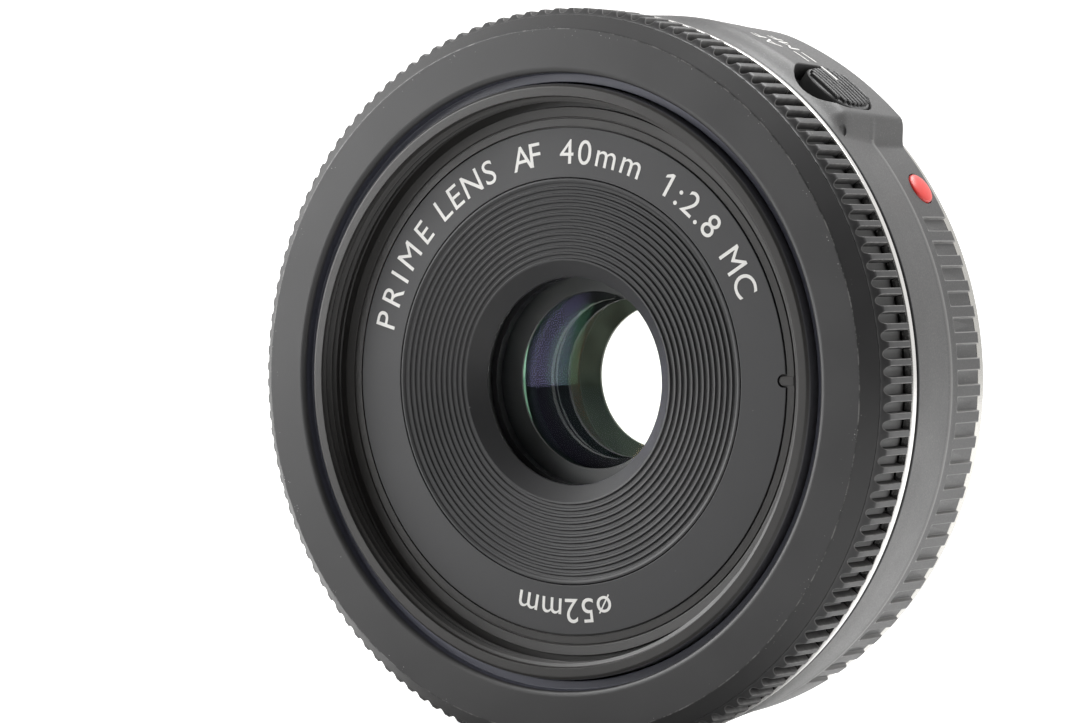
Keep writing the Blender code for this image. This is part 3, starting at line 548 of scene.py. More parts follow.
def focus_ring_look():
    """Satin black with wear along the front edge and painted highlights on the groove rims."""
    look = moulded("focus_ring_plastic", (0.027, 0.0266, 0.0275), 0.4, grain=0.09, depth=0.004)
    radius, y = look.radius(), look.axes[1]
    behind = look.math("GREATER_THAN", y, RIB_ZONE_FRONT_Y * MM)
    away = groove_distance(look, y)
    # Painted shade: each groove is darkened inside, away from its rim, where little light reaches.
    groove_shade = look.remap(away, (RIB_GROOVE / 2 - 0.02) * MM, (RIB_GROOVE / 2 - 0.1) * MM)
    look.tint((0.014, 0.0138, 0.0142), look.times(groove_shade, behind))
    # Painted highlight: the groove rims near the ribs' tops are lightened where light catches them,
    # broken up by noise.
    edge = look.band(away, RIB_GROOVE / 2 + 0.03, 0.08)
    near_top = look.math("GREATER_THAN", radius, (BAND_REAR_RADIUS - 0.1) * MM)
    highlight_breaks = look.remap(look.noise(0.8, 3.0, 0.6), 0.3, 0.65, 0.35, 1.0)
    look.tint(PAINTED_HIGHLIGHT, look.times(edge, near_top, behind, highlight_breaks))
    front_edge = look.band(radius, BAND_FRONT_RADIUS - 0.03, 0.09)
    near_front = look.remap(y, (RING_FRONT_Y + 0.35) * MM, (RING_FRONT_Y + 0.05) * MM)
    broken = look.remap(look.noise(1.7, 6.0, 0.8), 0.45, 0.62)
    look.tint(WORN, look.times(front_edge, near_front, broken, 0.4))
    # Painted light: deep in the gap the ring's bore is lightened to a bluish grey, as if light
    # reached in.
    gap_light = look.remap(radius, 28.7 * MM, 28.3 * MM)
    deep = look.remap(y, (RING_FRONT_Y + 0.2) * MM, (RING_FRONT_Y + 0.6) * MM)
    look.tint((0.085, 0.088, 0.115), look.times(gap_light, deep))
    chips = look.remap(look.cells(0.32), 0.1, 0.16, 1.0, 0.0)
    patches = look.remap(look.noise(1.6, 3.0, 0.6), 0.52, 0.62)
    near_edge = look.band(radius, BAND_FRONT_RADIUS - 0.25, 0.8)
    look.tint((0.5, 0.49, 0.47), look.times(chips, patches, near_edge, 0.9))
    dust(look)
    return look.material


def grip_distance(look):
    """Distance from the middle line of the nearest grip pocket, in metres. The two
    sides of the barrel mirror each other."""
    x, y, z = look.axes
    angle = look.math("ARCTAN2", z, look.math("ABSOLUTE", x))
    pitch = math.radians(GRIP_PITCH)
    turn = look.minus(angle, math.radians(GRIP_FIRST_ANGLE))
    count = look.plus(look.math("DIVIDE", turn, pitch), 100.5)
    side = look.minus(look.math("FRACT", count), 0.5)
    side = look.math("ABSOLUTE", look.times(side, pitch * GRIP_RADIUS * MM))
    # Both are measured from the pocket's edge, so that its front end joins in.
    side = look.minus(side, GRIP_WIDTH / 2 * MM)
    front = look.minus(GRIP_FRONT_Y * MM, y)
    low = look.math("GREATER_THAN", angle, math.radians(GRIP_FIRST_ANGLE - 20.5 * GRIP_PITCH))
    high = look.math("LESS_THAN", angle, math.radians(GRIP_FIRST_ANGLE + 0.5 * GRIP_PITCH))
    return look.math("MAXIMUM", side, front), look.times(low, high)


def barrel_look():
    """Satin grey plastic with a fine metallic fleck."""
    look = moulded("barrel_plastic", (0.052, 0.0515, 0.052), 0.42, grain=0.16, depth=0.01)
    fleck = look.remap(look.noise(0.11, 2.0, 0.7), 0.55, 0.78)
    look.tint((0.22, 0.215, 0.21), look.times(fleck, 0.55))
    dark = look.remap(look.noise(0.2, 2.0, 0.6), 0.6, 0.8)
    look.tint((0.03, 0.03, 0.03), look.times(dark, 0.35))
    y = look.axes[1]
    # Painted highlight: a light band along the crease line, away from the plateau.
    off_plateau = look.math("LESS_THAN", look.radius(), 33.25 * MM)
    look.tint(PAINTED_HIGHLIGHT, look.times(look.band(y, CREASE_Y, 0.5), off_plateau, 0.8))
    away, zone = grip_distance(look)
    # Painted highlight: a light line along the rims of the grip pockets.
    look.tint((0.3, 0.295, 0.29), look.times(look.band(away, 0.02, 0.12), zone, 0.7))
    # Painted shadow: the barrel turns near black in front of a line just behind the shoulder, in
    # the shade behind the trim ring.
    seam_shadow = look.remap(y, (SHOULDER_Y + 0.28) * MM, (SHOULDER_Y + 0.2) * MM)
    look.tint((0.004, 0.004, 0.006), seam_shadow)
    return look.material


def baffle_look():
    look = moulded(
        "front_baffle_plastic", (0.026, 0.026, 0.0275), 0.46, grain=0.08, depth=0.003, dusty=0.8
    )
    look.bump(look.noise(0.05), 0.001, 0.5)
    return look.material


def filter_ring_look():
    """Black finish over fine lathe lines, with a painted highlight round the outer rim."""
    look = moulded("filter_ring_plastic", (0.027, 0.0255, 0.0245), 0.38, grain=0.06, depth=0.003)
    lines = look.wave(look.plus(look.radius(), look.axes[1]), 0.11)
    look.bump(lines, 0.002)
    look.shade(lines, 0.85, 1.2)
    # Painted highlight: the outer rim is lightened where light catches it.
    outside = look.remap(look.radius(), (FILTER_RADIUS - 0.12) * MM, (FILTER_RADIUS - 0.04) * MM)
    look.tint((0.08, 0.08, 0.088), look.times(outside, 0.8))
    dust(look, 0.6)
    return look.material


def rear_cell_look():
    """The rear cell, greenish, with a faint green painted glow that stands in for glare from the
    glass.
    """
    look = moulded("rear_cell_black", (0.07, 0.085, 0.062), 0.4, grain=0.15)
    # Painted light: a faint emission stands in for glare that the glass elements spread over the
    # cell.
    look.set("Emission Color", (0.8, 1.0, 0.78, 1.0))
    look.set("Emission Strength", look.remap(look.noise(4.0), 0.3, 0.7, 0.02, 0.05))
    return look.material


def silver_look():
    look = Look("silver_trim", (0.74, 0.73, 0.715), 0.22, 1.0)
    lathe = look.noise(0.05, 2.0, 0.6, stretch=(0.05, 1.0, 0.05))
    look.roughness(lathe, 0.16, 0.27)
    look.bump(lathe, 0.0015)
    look.shade(look.noise(4.0, 3.0), 0.94, 1.0)
    return look.material


def turned_metal(name, colour, roughness):
    """Metal with concentric turning marks."""
    look = Look(name, colour, roughness, 1.0)
    uneven = look.noise(0.8, 3.0, 0.6)
    look.bump(look.plus(look.wave(look.radius(), 0.12), look.times(uneven, 0.04)), 0.0012)
    look.roughness(uneven, roughness - 0.02, roughness + 0.03)
    scratch = look.remap(look.noise(0.5, 5.0, 0.75), 0.6, 0.72)
    look.tint(WORN, look.times(scratch, 0.1))
    return look.material


def plain_metal(name, colour, roughness, grain=0.2):
    look = Look(name, colour, roughness, 1.0)
    fine = look.noise(grain, 3.0, 0.6)
    look.roughness(fine, roughness - 0.05, roughness + 0.1)
    look.bump(fine, 0.002)
    look.shade(look.noise(1.5, 3.0), 0.85, 1.05)
    return look.material


def paint_look(name, colour, roughness, coat=0.0):
    look = Look(name, colour, roughness, Coat_Weight=coat, Coat_Roughness=0.3)
    fine = look.noise(0.1)
    look.roughness(fine, roughness - 0.05, roughness + 0.1)
    look.bump(fine, 0.0015)
    look.shade(look.noise(1.2, 3.0), 0.93, 1.03)
    return look.material


def glass_look(name, tint, coating, edge_coating, strength):
    """Clear coated glass: light passes straight through, and the coating's colour shows
    in what it mirrors, more strongly towards grazing angles."""
    material = bpy.data.materials.new(name)
    material.use_nodes = True
    tree = material.node_tree
    tree.nodes.remove(tree.nodes["Principled BSDF"])
    facing = add_node(tree, "ShaderNodeLayerWeight", {"Blend": 0.35}).outputs["Facing"]
    inputs = {"Factor": facing, "A": (*coating, 1.0), "B": (*edge_coating, 1.0)}
    colour = add_node(tree, "ShaderNodeMix", inputs, data_type="RGBA").outputs["Result"]
    clear = add_node(tree, "ShaderNodeBsdfTransparent", {"Color": (*tint, 1.0)})
    gloss = add_node(tree, "ShaderNodeBsdfGlossy", {"Color": colour, "Roughness": 0.02})
    fresnel = add_node(tree, "ShaderNodeFresnel", {"IOR": COATED_IOR})
    inputs = {0: fresnel.outputs[0], 1: strength}
    mirror = add_node(tree, "ShaderNodeMath", inputs, operation="MULTIPLY")
    inputs = {0: mirror.outputs[0], 1: clear.outputs[0], 2: gloss.outputs[0]}
    mixed = add_node(tree, "ShaderNodeMixShader", inputs).outputs[0]
    feed(tree.nodes["Material Output"].inputs["Surface"], mixed)
    return material


RING_LOOK = focus_ring_look()
BARREL_LOOK = barrel_look()
FILTER_LOOK = filter_ring_look()
REAR_CELL_LOOK = rear_cell_look()
SILVER_LOOK = silver_look()
MOUNT_LOOK = turned_metal("mount_metal", (0.5, 0.49, 0.465), 0.26)
SCREW_LOOK = plain_metal("screw_steel", (0.3, 0.3, 0.31), 0.3)
GOLD_LOOK = plain_metal("gold_contacts", (0.95, 0.68, 0.3), 0.2)
BRASS_LOOK = plain_metal("brass_parts", (0.8, 0.6, 0.3), 0.28)
STEEL_LOOK = plain_metal("motor_steel", (0.5, 0.5, 0.51), 0.32)
RED_LOOK = paint_look("index_red", (0.72, 0.03, 0.022), 0.36, coat=0.3)
WHITE_LOOK = paint_look("letter_white", (0.8, 0.79, 0.765), 0.45)
NAME_LOOK = moulded(
    "name_ring_plastic", (0.04, 0.04, 0.042), 0.55, grain=0.07, depth=0.003, dusty=0.6
).material
BAFFLE_LOOK = baffle_look()
BLACK = (0.012, 0.012, 0.013)
BLACK_LOOK = moulded("inner_black_plastic", BLACK, 0.5, grain=0.15, depth=0.004).material
CELL_BLACK = (0.045, 0.048, 0.047)
CELL_LOOK = moulded("lens_cell_black", CELL_BLACK, 0.35, grain=0.15, depth=0.003).material
KNOB_LOOK = moulded("switch_plastic", (0.06, 0.06, 0.061), 0.45, grain=0.12).material
REAR_LOOK = moulded("baffle_plastic", (0.016, 0.016, 0.017), 0.55, grain=0.18, depth=0.01).material


# ---- Camera, light and floor ----


def make_camera():
    data = bpy.data.cameras.new("camera")
    data.lens = CAMERA_LENS
    data.sensor_width = SENSOR_WIDTH
    data.clip_start = 0.01
    data.clip_end = 20.0
    camera = bpy.data.objects.new("camera", data)
    bpy.context.scene.collection.objects.link(camera)
    elevation = math.radians(CAMERA_ELEVATION)
    x, y = polar(math.cos(elevation), CAMERA_AZIMUTH - 90.0)
    back = Vector((x, y, math.sin(elevation)))
    right = (-back).cross(Vector((0.0, 0.0, 1.0))).normalized()
    up = right.cross(-back)
    roll = math.radians(CAMERA_ROLL)
    across = math.cos(roll) * right + math.sin(roll) * up
    upward = math.cos(roll) * up - math.sin(roll) * right
    turn = Matrix((across, upward, back)).transposed().to_4x4()
    camera.matrix_world = Matrix.Translation(Vector(CAMERA_PLACE) * MM) @ turn
    bpy.context.scene.camera = camera


def add_softbox(name, place_mm, width, height, power, spread):
    """A soft area light that faces the lens."""
    data = bpy.data.lights.new(name, "AREA")
    data.shape = "RECTANGLE"
    data.size = width * MM
    data.size_y = height * MM
    data.energy = power
    data.spread = math.radians(spread)
    light = bpy.data.objects.new(name, data)
    place = Vector(place_mm) * MM
    light.location = place
    light.rotation_euler = place.to_track_quat("Z", "Y").to_euler()
    bpy.context.scene.collection.objects.link(light)


def make_surroundings():
    """A white cyclorama behind and above, which fades to a dark room on the camera side."""
    world = bpy.data.worlds.new("studio")
    bpy.context.scene.world = world
    world.use_nodes = True
    tree = world.node_tree
    direction = add_node(tree, "ShaderNodeTexCoord").outputs["Generated"]
    inputs = {0: direction, 1: Vector(WORLD_BRIGHT_SIDE).normalized()}
    toward = add_node(tree, "ShaderNodeVectorMath", inputs, operation="DOT_PRODUCT")
    level = map_range(tree, toward.outputs["Value"], *WORLD_FADE, WORLD_DARK, WORLD_BRIGHT)
    seen = add_node(tree, "ShaderNodeLightPath").outputs["Is Camera Ray"]
    strength = add_node(tree, "ShaderNodeMix", {"Factor": seen, "A": level, "B": WORLD_SEEN})
    background = tree.nodes["Background"].inputs
    feed(background["Color"], (1.0, 0.995, 0.985, 1.0))
    feed(background["Strength"], strength.outputs["Result"])
    for softbox in SOFTBOXES:
        add_softbox(*softbox)
    bpy.context.scene.view_settings.view_transform = "Standard"


def make_floor():
    """A white round table top."""
    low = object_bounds()[0].z / MM - 0.05
    bm = bmesh.new()
    rows = [[bm.verts.new((0.0, 0.0, low))] * FLOOR_SEGMENTS]
    for radius in FLOOR_RADII:
        points = [polar(radius, angle) for angle in even_angles(FLOOR_SEGMENTS)]
        rows.append([bm.verts.new((x, y, low)) for x, y in points])
    bridge(bm, rows)
    look = Look("floor_white", (0.9, 0.9, 0.895), 0.6)
    look.shade(look.noise(180.0), 0.985, 1.0)
    look.set("Emission Color", (1.0, 1.0, 0.995, 1.0))
    look.set("Emission Strength", look.remap(look.axes[1], *FLOOR_GLOW_Y, 0.0, FLOOR_GLOW))
    floor = finish_mesh("table_top", bm, look.material, smooth=180.0)
    # The key softbox leaves the floor alone, as a flag on a stand would see to.
    unlit = bpy.data.collections.new("flagged_from_key")
    unlit.objects.link(floor)
    unlit.collection_objects[0].light_linking.link_state = "EXCLUDE"
    bpy.data.objects["key_softbox"].light_linking.receiver_collection = unlit


# ---- Focus ring ----


def rib_top(y):
    """Radius of the ring's outside between the grooves."""
    slope = ease(RIB_ZONE_FRONT_Y, -20.55, y)
    front = BAND_REAR_RADIUS + (RING_RADIUS - BAND_REAR_RADIUS) * slope
    return front - 0.2 * ease(-16.9, RING_REAR_Y, y) ** 2


def rib_floor(y):
    """The floor of a groove drops towards the rear."""
    return RIB_FLOOR - (RIB_FLOOR - RIB_DEEP_FLOOR) * ease(-17.35, -17.15, y)


def rib_path():
    """The U-shaped edge of one groove, as (side, y, normal side, normal y)."""
    half = RIB_GROOVE / 2
    turn_y = RIB_FRONT_Y + half
    straight = [RING_REAR_Y, -16.76, -16.83, -16.95, -17.15, -17.25, -17.35, -18.6, -19.6]
    path = [(half, y, 1.0, 0.0) for y in straight]
    for step in range(17):
        side, along = polar(1.0, 180.0 * step / 16)
        path.append((half * side, turn_y - half * along, side, -along))
    return path + [(-half, y, -1.0, 0.0) for y in reversed(straight)]


def rib_boundary(side, y, pitch):
    """Where a groove's edge point meets the border of its cell."""
    turn_y = RIB_FRONT_Y + RIB_GROOVE / 2
    if y >= turn_y - 1e-6:
        return math.copysign(pitch / 2, side), y
    along = turn_y - y
    depth = turn_y - RIB_ZONE_FRONT_Y
    across = pitch / 2
    scale = min(across / max(abs(side), 1e-9), depth / max(along, 1e-9))
    return side * scale, turn_y - along * scale


def add_rib_cell(bm, middle, pitch, path):
    """One groove and the half ribs beside it."""
    levels = []
    for outward, share, least in (
        (0.07, 0.0, 0.0), (0.03, 0.05, 0.02), (0.0, 0.2, 0.07), (-0.03, 0.75, 9.0),
        (-0.07, 0.95, 9.0), (-0.15, 1.0, 9.0),
    ):
        loop = []
        for side, y, normal_side, normal_y in path:
            at = y + normal_y * outward
            depth = rib_top(at) - rib_floor(at)
            radius = rib_top(at) - min(share * depth, least)
            loop.append(bm.verts.new(on_barrel(side + normal_side * outward, at, radius, middle)))
        levels.append(loop)
    outer = []
    for share in (1.0, 0.62, 0.28):
        loop = []
        for side, y, normal_side, normal_y in path:
            near_side, near_y = side + normal_side * 0.07, y + normal_y * 0.07
            far_side, far_y = rib_boundary(side, y, pitch)
            here_side = near_side + (far_side - near_side) * share
            here_y = near_y + (far_y - near_y) * share
            loop.append(bm.verts.new(on_barrel(here_side, here_y, rib_top(here_y), middle)))
        outer.append(loop)
    bridge(bm, outer + levels, wrap=False)
    floor = levels[-1]
    last = len(floor) - 1
    for step in range(len(floor) // 2):
        corners = [floor[step], floor[step + 1], floor[last - step - 1], floor[last - step]]
        bm.faces.new(list(dict.fromkeys(corners)))


def build_focus_ring():
    pitch_angle = 360.0 / RIB_COUNT
    pitch = math.radians(pitch_angle) * RING_RADIUS
    bm = bmesh.new()
    path = rib_path()
    for index in range(RIB_COUNT):
        add_rib_cell(bm, pitch_angle * (index + 0.5), pitch, path)
    bmesh.ops.remove_doubles(bm, verts=bm.verts, dist=0.004)
    rim = [edge for edge in bm.edges if edge.is_boundary]
    made = bmesh.ops.extrude_edge_only(bm, edges=rim)["geom"]
    for vert in (item for item in made if isinstance(item, bmesh.types.BMVert)):
        stretch = RIB_INNER / math.hypot(vert.co.x, vert.co.z)
        vert.co.x *= stretch
        vert.co.z *= stretch
    body = [
        (RING_BORE, RING_FRONT_Y, 0.65), (BAND_FRONT_RADIUS, RING_FRONT_Y, 0.1),
        (BAND_REAR_RADIUS - 0.02, RIB_ZONE_FRONT_Y - 0.05, 0.03),
        (BAND_REAR_RADIUS - 0.06, RIB_ZONE_FRONT_Y - 0.02, 0.01),
        (BAND_REAR_RADIUS - 0.1, RIB_ZONE_FRONT_Y + 0.3, 0.02),
        (RIB_INNER + 0.2, RIB_ZONE_FRONT_Y + 0.5),
        (RIB_INNER + 0.2, RING_REAR_Y - 0.02, 0.02), (RING_REAR_BORE, RING_REAR_Y, 0.05),
        (RING_REAR_BORE, SEAL_Y[1]), (SEAL_RADIUS, SEAL_Y[1], 0.03),
        (SEAL_RADIUS, SEAL_Y[0], 0.08), (RING_BORE, SEAL_Y[0], 0.12),
    ]
    spin(bm, rounded(body, 5), 2 * SEGMENTS)
    ring = finish_mesh("focus_ring_shell", bm, RING_LOOK, smooth=40.0)
    place(ring, "focus_ring_body", "focus_ring_plastic", "focus_ring")


# ---- Fixed barrel ----


def plateau_top(y):
    rise = ease(SHOULDER_Y, -12.6, y)
    top = SHOULDER_RADIUS + (PLATEAU_FRONT_RADIUS - SHOULDER_RADIUS) * rise
    slope = max(0.0, y + 12.0) / (12.0 + BARREL_REAR_Y)
    return top + (PLATEAU_REAR_RADIUS - PLATEAU_FRONT_RADIUS) * slope


def barrel_outside(y):
    """Radius of the barrel's outside away from the plateau."""
    knots = [
        (SHOULDER_Y, SHOULDER_RADIUS), (-12.6, 33.6), (-7.95, 33.06), (CREASE_Y, 33.12),
        (-7.35, 33.02), (-7.0, 32.74), (-6.8, GRIP_RADIUS), (BARREL_REAR_Y, GRIP_RADIUS),
    ]
    for (y_low, low), (y_high, high) in zip(knots, knots[1:]):
        if y <= y_high:
            return low + (high - low) * (y - y_low) / (y_high - y_low)
    return GRIP_RADIUS


def barrel_radius(radius, y, angle):
    if radius < GRIP_RADIUS - 0.45:
        return radius
    angle = angle % 360.0
    height = ease(*PLATEAU_WALL, angle) * (1.0 - ease(*PLATEAU_RAMP, angle))
    return radius + (plateau_top(y) - barrel_outside(y)) * height


def barrel_top(y, angle):
    return barrel_radius(barrel_outside(y), y, angle)


def flared_cutter(bm, outline, angle, floor, surface, lip=0.07, rise=0.35, depth=None, strips=True):
    """A pocket's cutter with a rounded floor and a rounded lip at the surface. With a
    depth its floor follows the surface."""

    def top(side, y):
        return surface(y, angle + math.degrees(side / floor))

    def base(side, y):
        return top(side, y) - depth if depth else floor

    steps = (
        (-0.1, base, 0.0), (-0.03, base, 0.03), (0.0, base, 0.1), (0.0, top, -1.6 * lip),
        (0.3 * lip, top, -0.55 * lip), (lip, top, 0.002), (lip + 0.35, top, rise),
    )
    loops = []
    for outward, level, lift in steps:
        loop = []
        for side, y in offset(outline, outward):
            loop.append(on_barrel(side, y, level(side, y) + lift, angle))
        loops.append(loop)
    stack(bm, loops, strips=strips)


def barrel_angles():
    """Facets of half a degree, finer over the plateau's steep wall."""
    angles = [44.0 + 0.6 * step for step in range(592)]
    wall = [399.2 + 0.2 * step for step in range(24)]
    return [angle for angle in angles if angle < 399.1] + wall


def build_barrel():
    outline = [
        (BARREL_BORE, SLEEVE_FRONT_Y), (SLEEVE_RADIUS, SLEEVE_FRONT_Y),
        (SLEEVE_RADIUS, SHOULDER_Y - 0.05),
    ]
    shoulder = [(SLEEVE_RADIUS, SHOULDER_Y), (SHOULDER_RADIUS, SHOULDER_Y, 0.18), (33.6, -12.6)]
    outline += rounded(shoulder, 5)[1:-1]
    steps = 44
    for step in range(steps):
        y = -14.6 + (BARREL_REAR_Y - 0.35 + 14.6) * step / steps
        outline.append((barrel_outside(y), y))
    outline += rounded(
        [(GRIP_RADIUS, -3.0), (GRIP_RADIUS, BARREL_REAR_Y, 0.3), (30.0, BARREL_REAR_Y)], 5
    )[1:-1]
    outline += [(24.4, BARREL_REAR_Y), (24.4, -3.2), (BARREL_BORE, -3.2)]
    bm = bmesh.new()
    spin(bm, outline, radius_of=barrel_radius, angles=barrel_angles())
    barrel = finish_mesh("barrel_shell", bm, BARREL_LOOK)

    cutters = bmesh.new()
    slot = stadium(SWITCH_WIDTH, SWITCH_FRONT_Y, SWITCH_REAR_Y, 18)
    flared_cutter(cutters, slot, SWITCH_ANGLE, SWITCH_FLOOR, barrel_top, lip=0.1, rise=1.4)
    carve(barrel, cutters)
    cutters = bmesh.new()
    dot = stadium(2 * DOT_RADIUS + 0.16, DOT_Y - DOT_RADIUS - 0.08, DOT_Y + DOT_RADIUS + 0.08, 14)
    flared_cutter(cutters, dot, DOT_ANGLE, GRIP_RADIUS - 0.6, barrel_top, lip=0.05)
    dimple = stadium(1.0, -14.0, -13.0, 10)
    flared_cutter(cutters, dimple, 40.9, 33.7, barrel_top, lip=0.05, depth=0.24)
    carve(barrel, cutters)
    cutters = bmesh.new()
    half = GRIP_WIDTH / 2
    pocket = rounded(
        [
            (half, BARREL_REAR_Y + 1.5), (half, GRIP_FRONT_Y, 0.3),
            (-half, GRIP_FRONT_Y, 0.3), (-half, BARREL_REAR_Y + 1.5),
        ],
        5,
    )
    for index in range(GRIP_COUNT):
        angle = GRIP_FIRST_ANGLE - GRIP_PITCH * index
        for side_angle in (angle, 180.0 - angle):
            floor = GRIP_RADIUS - GRIP_DEPTH
            flared_cutter(cutters, pocket, side_angle, floor, barrel_top, strips=False)
    carve(barrel, cutters, smooth=38.0)
    place(barrel, "root", "barrel_plastic", "rear_barrel")


def build_index_dot():
    """A shallow glossy dome."""
    top = GRIP_RADIUS + 0.02
    profile = [(DOT_RADIUS, -0.5), (DOT_RADIUS, -0.02)]
    for step in range(1, 8):
        across, up = polar(1.0, 90.0 * step / 8)
        profile.append((DOT_RADIUS * across, 0.34 * up))
    loops = []
    for radius, level in profile:
        loop = []
        for turn in even_angles(40):
            side, along = polar(radius, turn)
            x, y, z = on_barrel(side, DOT_Y + along, top, DOT_ANGLE)
            out_x, out_z = polar(level, DOT_ANGLE)
            loop.append((x + out_x, y, z + out_z))
        loops.append(loop)
    bm = bmesh.new()
    stack(bm, loops)
    dot = finish_mesh("index_dot_dome", bm, RED_LOOK, smooth=50.0)
    place(dot, "root", "index_red", "mount_index_dot")


def build_trim_ring():
    bore = SLEEVE_RADIUS + 0.15
    corners = [
        (bore, TRIM_FRONT_Y, 0.03), (TRIM_RADIUS, TRIM_FRONT_Y, 0.22),
        (TRIM_RADIUS, TRIM_REAR_Y, 0.2), (bore, TRIM_REAR_Y, 0.03),
    ]
    ring = turned_mesh("silver_ring", rounded(corners, 6), SILVER_LOOK, 2 * SEGMENTS)
    place(ring, "root", "silver_trim", "silver_trim_ring")


def build_switch():
    """The focus mode knob: a stadium whose top carries cross ribs."""
    low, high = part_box("switch_knob")
    front, rear = low.y / MM, high.y / MM
    width = SWITCH_WIDTH - 0.3
    outline = stadium(width, front, rear, 24)
    loops = []
    sides = ((0.0, 33.15), (0.0, 34.2), (0.04, 34.4), (0.14, KNOB_TOP - 0.02), (0.3, KNOB_TOP))
    for inward, radius in sides:
        points = offset(outline, -inward)
        loops.append([on_barrel(side, y, radius, SWITCH_ANGLE) for side, y in points])
    bm = bmesh.new()
    stack(bm, loops)
    pitch = (rear - front - 1.2) / KNOB_RIBS
    half = width / 2
    rib_half = 0.3 * pitch
    levels = ((-0.04, 34.4), (0.0, KNOB_TOP), (0.0, 34.76), (0.07, 34.84), (0.16, KNOB_RIB_TOP))
    for index in range(KNOB_RIBS):
        middle = front + 0.6 + pitch * (index + 0.5)
        edge = min(middle - front, rear - middle)
        reach_side = half if edge > half else math.sqrt(half**2 - (half - edge) ** 2)
        reach_side -= 0.42
        loops = []
        for inset, radius in levels:
            loop = []
            for way in (1.0, -1.0):
                for step in range(11):
                    side = way * (reach_side - inset) * (step / 5 - 1)
                    y = middle - way * (rib_half - inset)
                    loop.append(on_barrel(side, y, radius, SWITCH_ANGLE))
            loops.append(loop)
        stack(bm, loops)
    knob = finish_mesh("switch_button", bm, KNOB_LOOK)
    place(knob, "focus_switch_body", "switch_plastic", "switch_knob")


# ---- Front rings ----


def thread_radius(y, angle):
    """Inner wall of the filter ring, with its fine helical thread."""
    bore, crest = THREAD_RADII
    phase = ((y - angle / 360.0 * THREAD_PITCH) / THREAD_PITCH) % 1.0
    tooth = 1.0 - abs(2.0 * phase - 1.0)
    tooth = min(1.0, max(0.0, (tooth - 0.14) / 0.72))
    fade = ease(-22.6, -22.25, y) * (1.0 - ease(-20.75, -20.5, y))
    return bore - (bore - crest) * tooth * fade


def filter_ring_radius(radius, y, angle):
    return thread_radius(y, angle) if radius == THREAD_ROW else radius


def build_filter_ring():
    front, rear = FILTER_FRONT_Y, FILTER_REAR_Y
    outline = rounded(
        [
            (26.02, front, 0.06), (FILTER_RADIUS - 0.28, front, 0.08),
            (FILTER_RADIUS, front + 0.28, 0.08), (FILTER_RADIUS, rear, 0.05),
            (21.5, rear), (21.5, -19.8), (23.35, -19.8), (23.35, -20.05, 0.03),
            (24.05, -20.05, 0.03), (24.09, -19.93, 0.02), (24.17, -19.93, 0.02),
            (24.21, -20.07, 0.03), (25.08, -20.18, 0.04), (25.12, -19.88, 0.03),
            (25.9, -19.88, 0.03),
        ],
        3,
    )
    steps = 72
    for step in range(steps + 1):
        outline.append((THREAD_ROW, -20.0 + (front + 0.28 + 20.0) * step / steps))
    bm = bmesh.new()
    spin(bm, outline, radius_of=filter_ring_radius)
    flat_stack(bm, pill(22.5, 0.9, 0.0), ((0.0, -19.5), (0.0, -20.02), (-0.05, -20.09)))
    ring = finish_mesh("filter_thread_ring", bm, FILTER_LOOK)
    place(ring, "optical_unit", "filter_ring_plastic", "filter_ring")


def pill(radius_in, width, reach_out):
    """The key at 3 o'clock: a tab with a round end that points to the axis."""
    half = width / 2
    points = [(24.0 + reach_out, half)]
    for step in range(13):
        x, z = polar(half, 90.0 + 15.0 * step)
        points.append((radius_in + half + x, z))
    return points + [(24.0 + reach_out, -half)]


def build_name_ring():
    corners = [
        (NAME_INNER_RADIUS, NAME_FRONT_Y, 0.08), (NAME_RADIUS, NAME_OUTER_Y, 0.08),
        (NAME_RADIUS, NAME_REAR_Y), (NAME_INNER_RADIUS, NAME_REAR_Y),
    ]
    ring = turned_mesh("name_plate_ring", rounded(corners, 5), NAME_LOOK)
    cutter = bmesh.new()
    flat_stack(cutter, pill(22.35, 1.2, 1.0), ((0.0, -21.0), (0.0, -19.0)))
    carve(ring, cutter, smooth=32.0)
    place(ring, "optical_unit", "name_ring_plastic", "name_ring")


def ridge_outline():
    """Anti-glare ridges: each has a narrow crest and a valley behind it."""
    pitch = (RIDGE_OUTER_RADIUS - RIDGE_INNER_RADIUS) / RIDGE_COUNT
    front, deep = BAFFLE_FRONT_Y + 0.07, BAFFLE_FRONT_Y + 0.27
    points = []
    for index in range(RIDGE_COUNT):
        inner = RIDGE_INNER_RADIUS + pitch * index
        points += [
            (inner, front + 0.03, 0.02), (inner + 0.28 * pitch, front, 0.03),
            (inner + 0.42 * pitch, deep, 0.05), (inner + 0.86 * pitch, deep - 0.04, 0.05),
        ]
    return points


def build_front_baffle():
    corners = [(9.56, BAFFLE_FRONT_Y + 1.32, 0.05)] + ridge_outline()
    corners += [
        (18.22, BAFFLE_FRONT_Y + 0.14, 0.03), (18.4, BAFFLE_FRONT_Y + 0.08, 0.05),
        (BAFFLE_RADIUS, BAFFLE_FRONT_Y + 0.1, 0.05), (BAFFLE_RADIUS, -19.5),
        (12.6, -19.5), (12.6, BAFFLE_REAR_Y), (11.0, BAFFLE_REAR_Y), (9.56, -18.82, 0.04),
    ]
    baffle = turned_mesh("ridged_front_baffle", rounded(corners, 3), BAFFLE_LOOK)
    place(baffle, "optical_unit", "front_baffle_plastic", "front_light_baffle")


# ---- Lettering ----


def glyph_mesh(text):
    """Flat mesh data of a text in the built-in font, one unit high in its own size."""
    curve = bpy.data.curves.new("glyph", "FONT")
    curve.body = text
    curve.resolution_u = 6
    holder = bpy.data.objects.new("glyph", curve)
    bpy.context.scene.collection.objects.link(holder)
    graph = bpy.context.evaluated_depsgraph_get()
    mesh = bpy.data.meshes.new_from_object(holder.evaluated_get(graph))
    verts = [tuple(vert.co[:2]) for vert in mesh.vertices]
    faces = [tuple(face.vertices) for face in mesh.polygons]
    bpy.data.objects.remove(holder)
    bpy.data.curves.remove(curve)
    bpy.data.meshes.remove(mesh)
    return verts, faces


def glyph_right(text):
    return max(x for x, _ in glyph_mesh(text)[0])


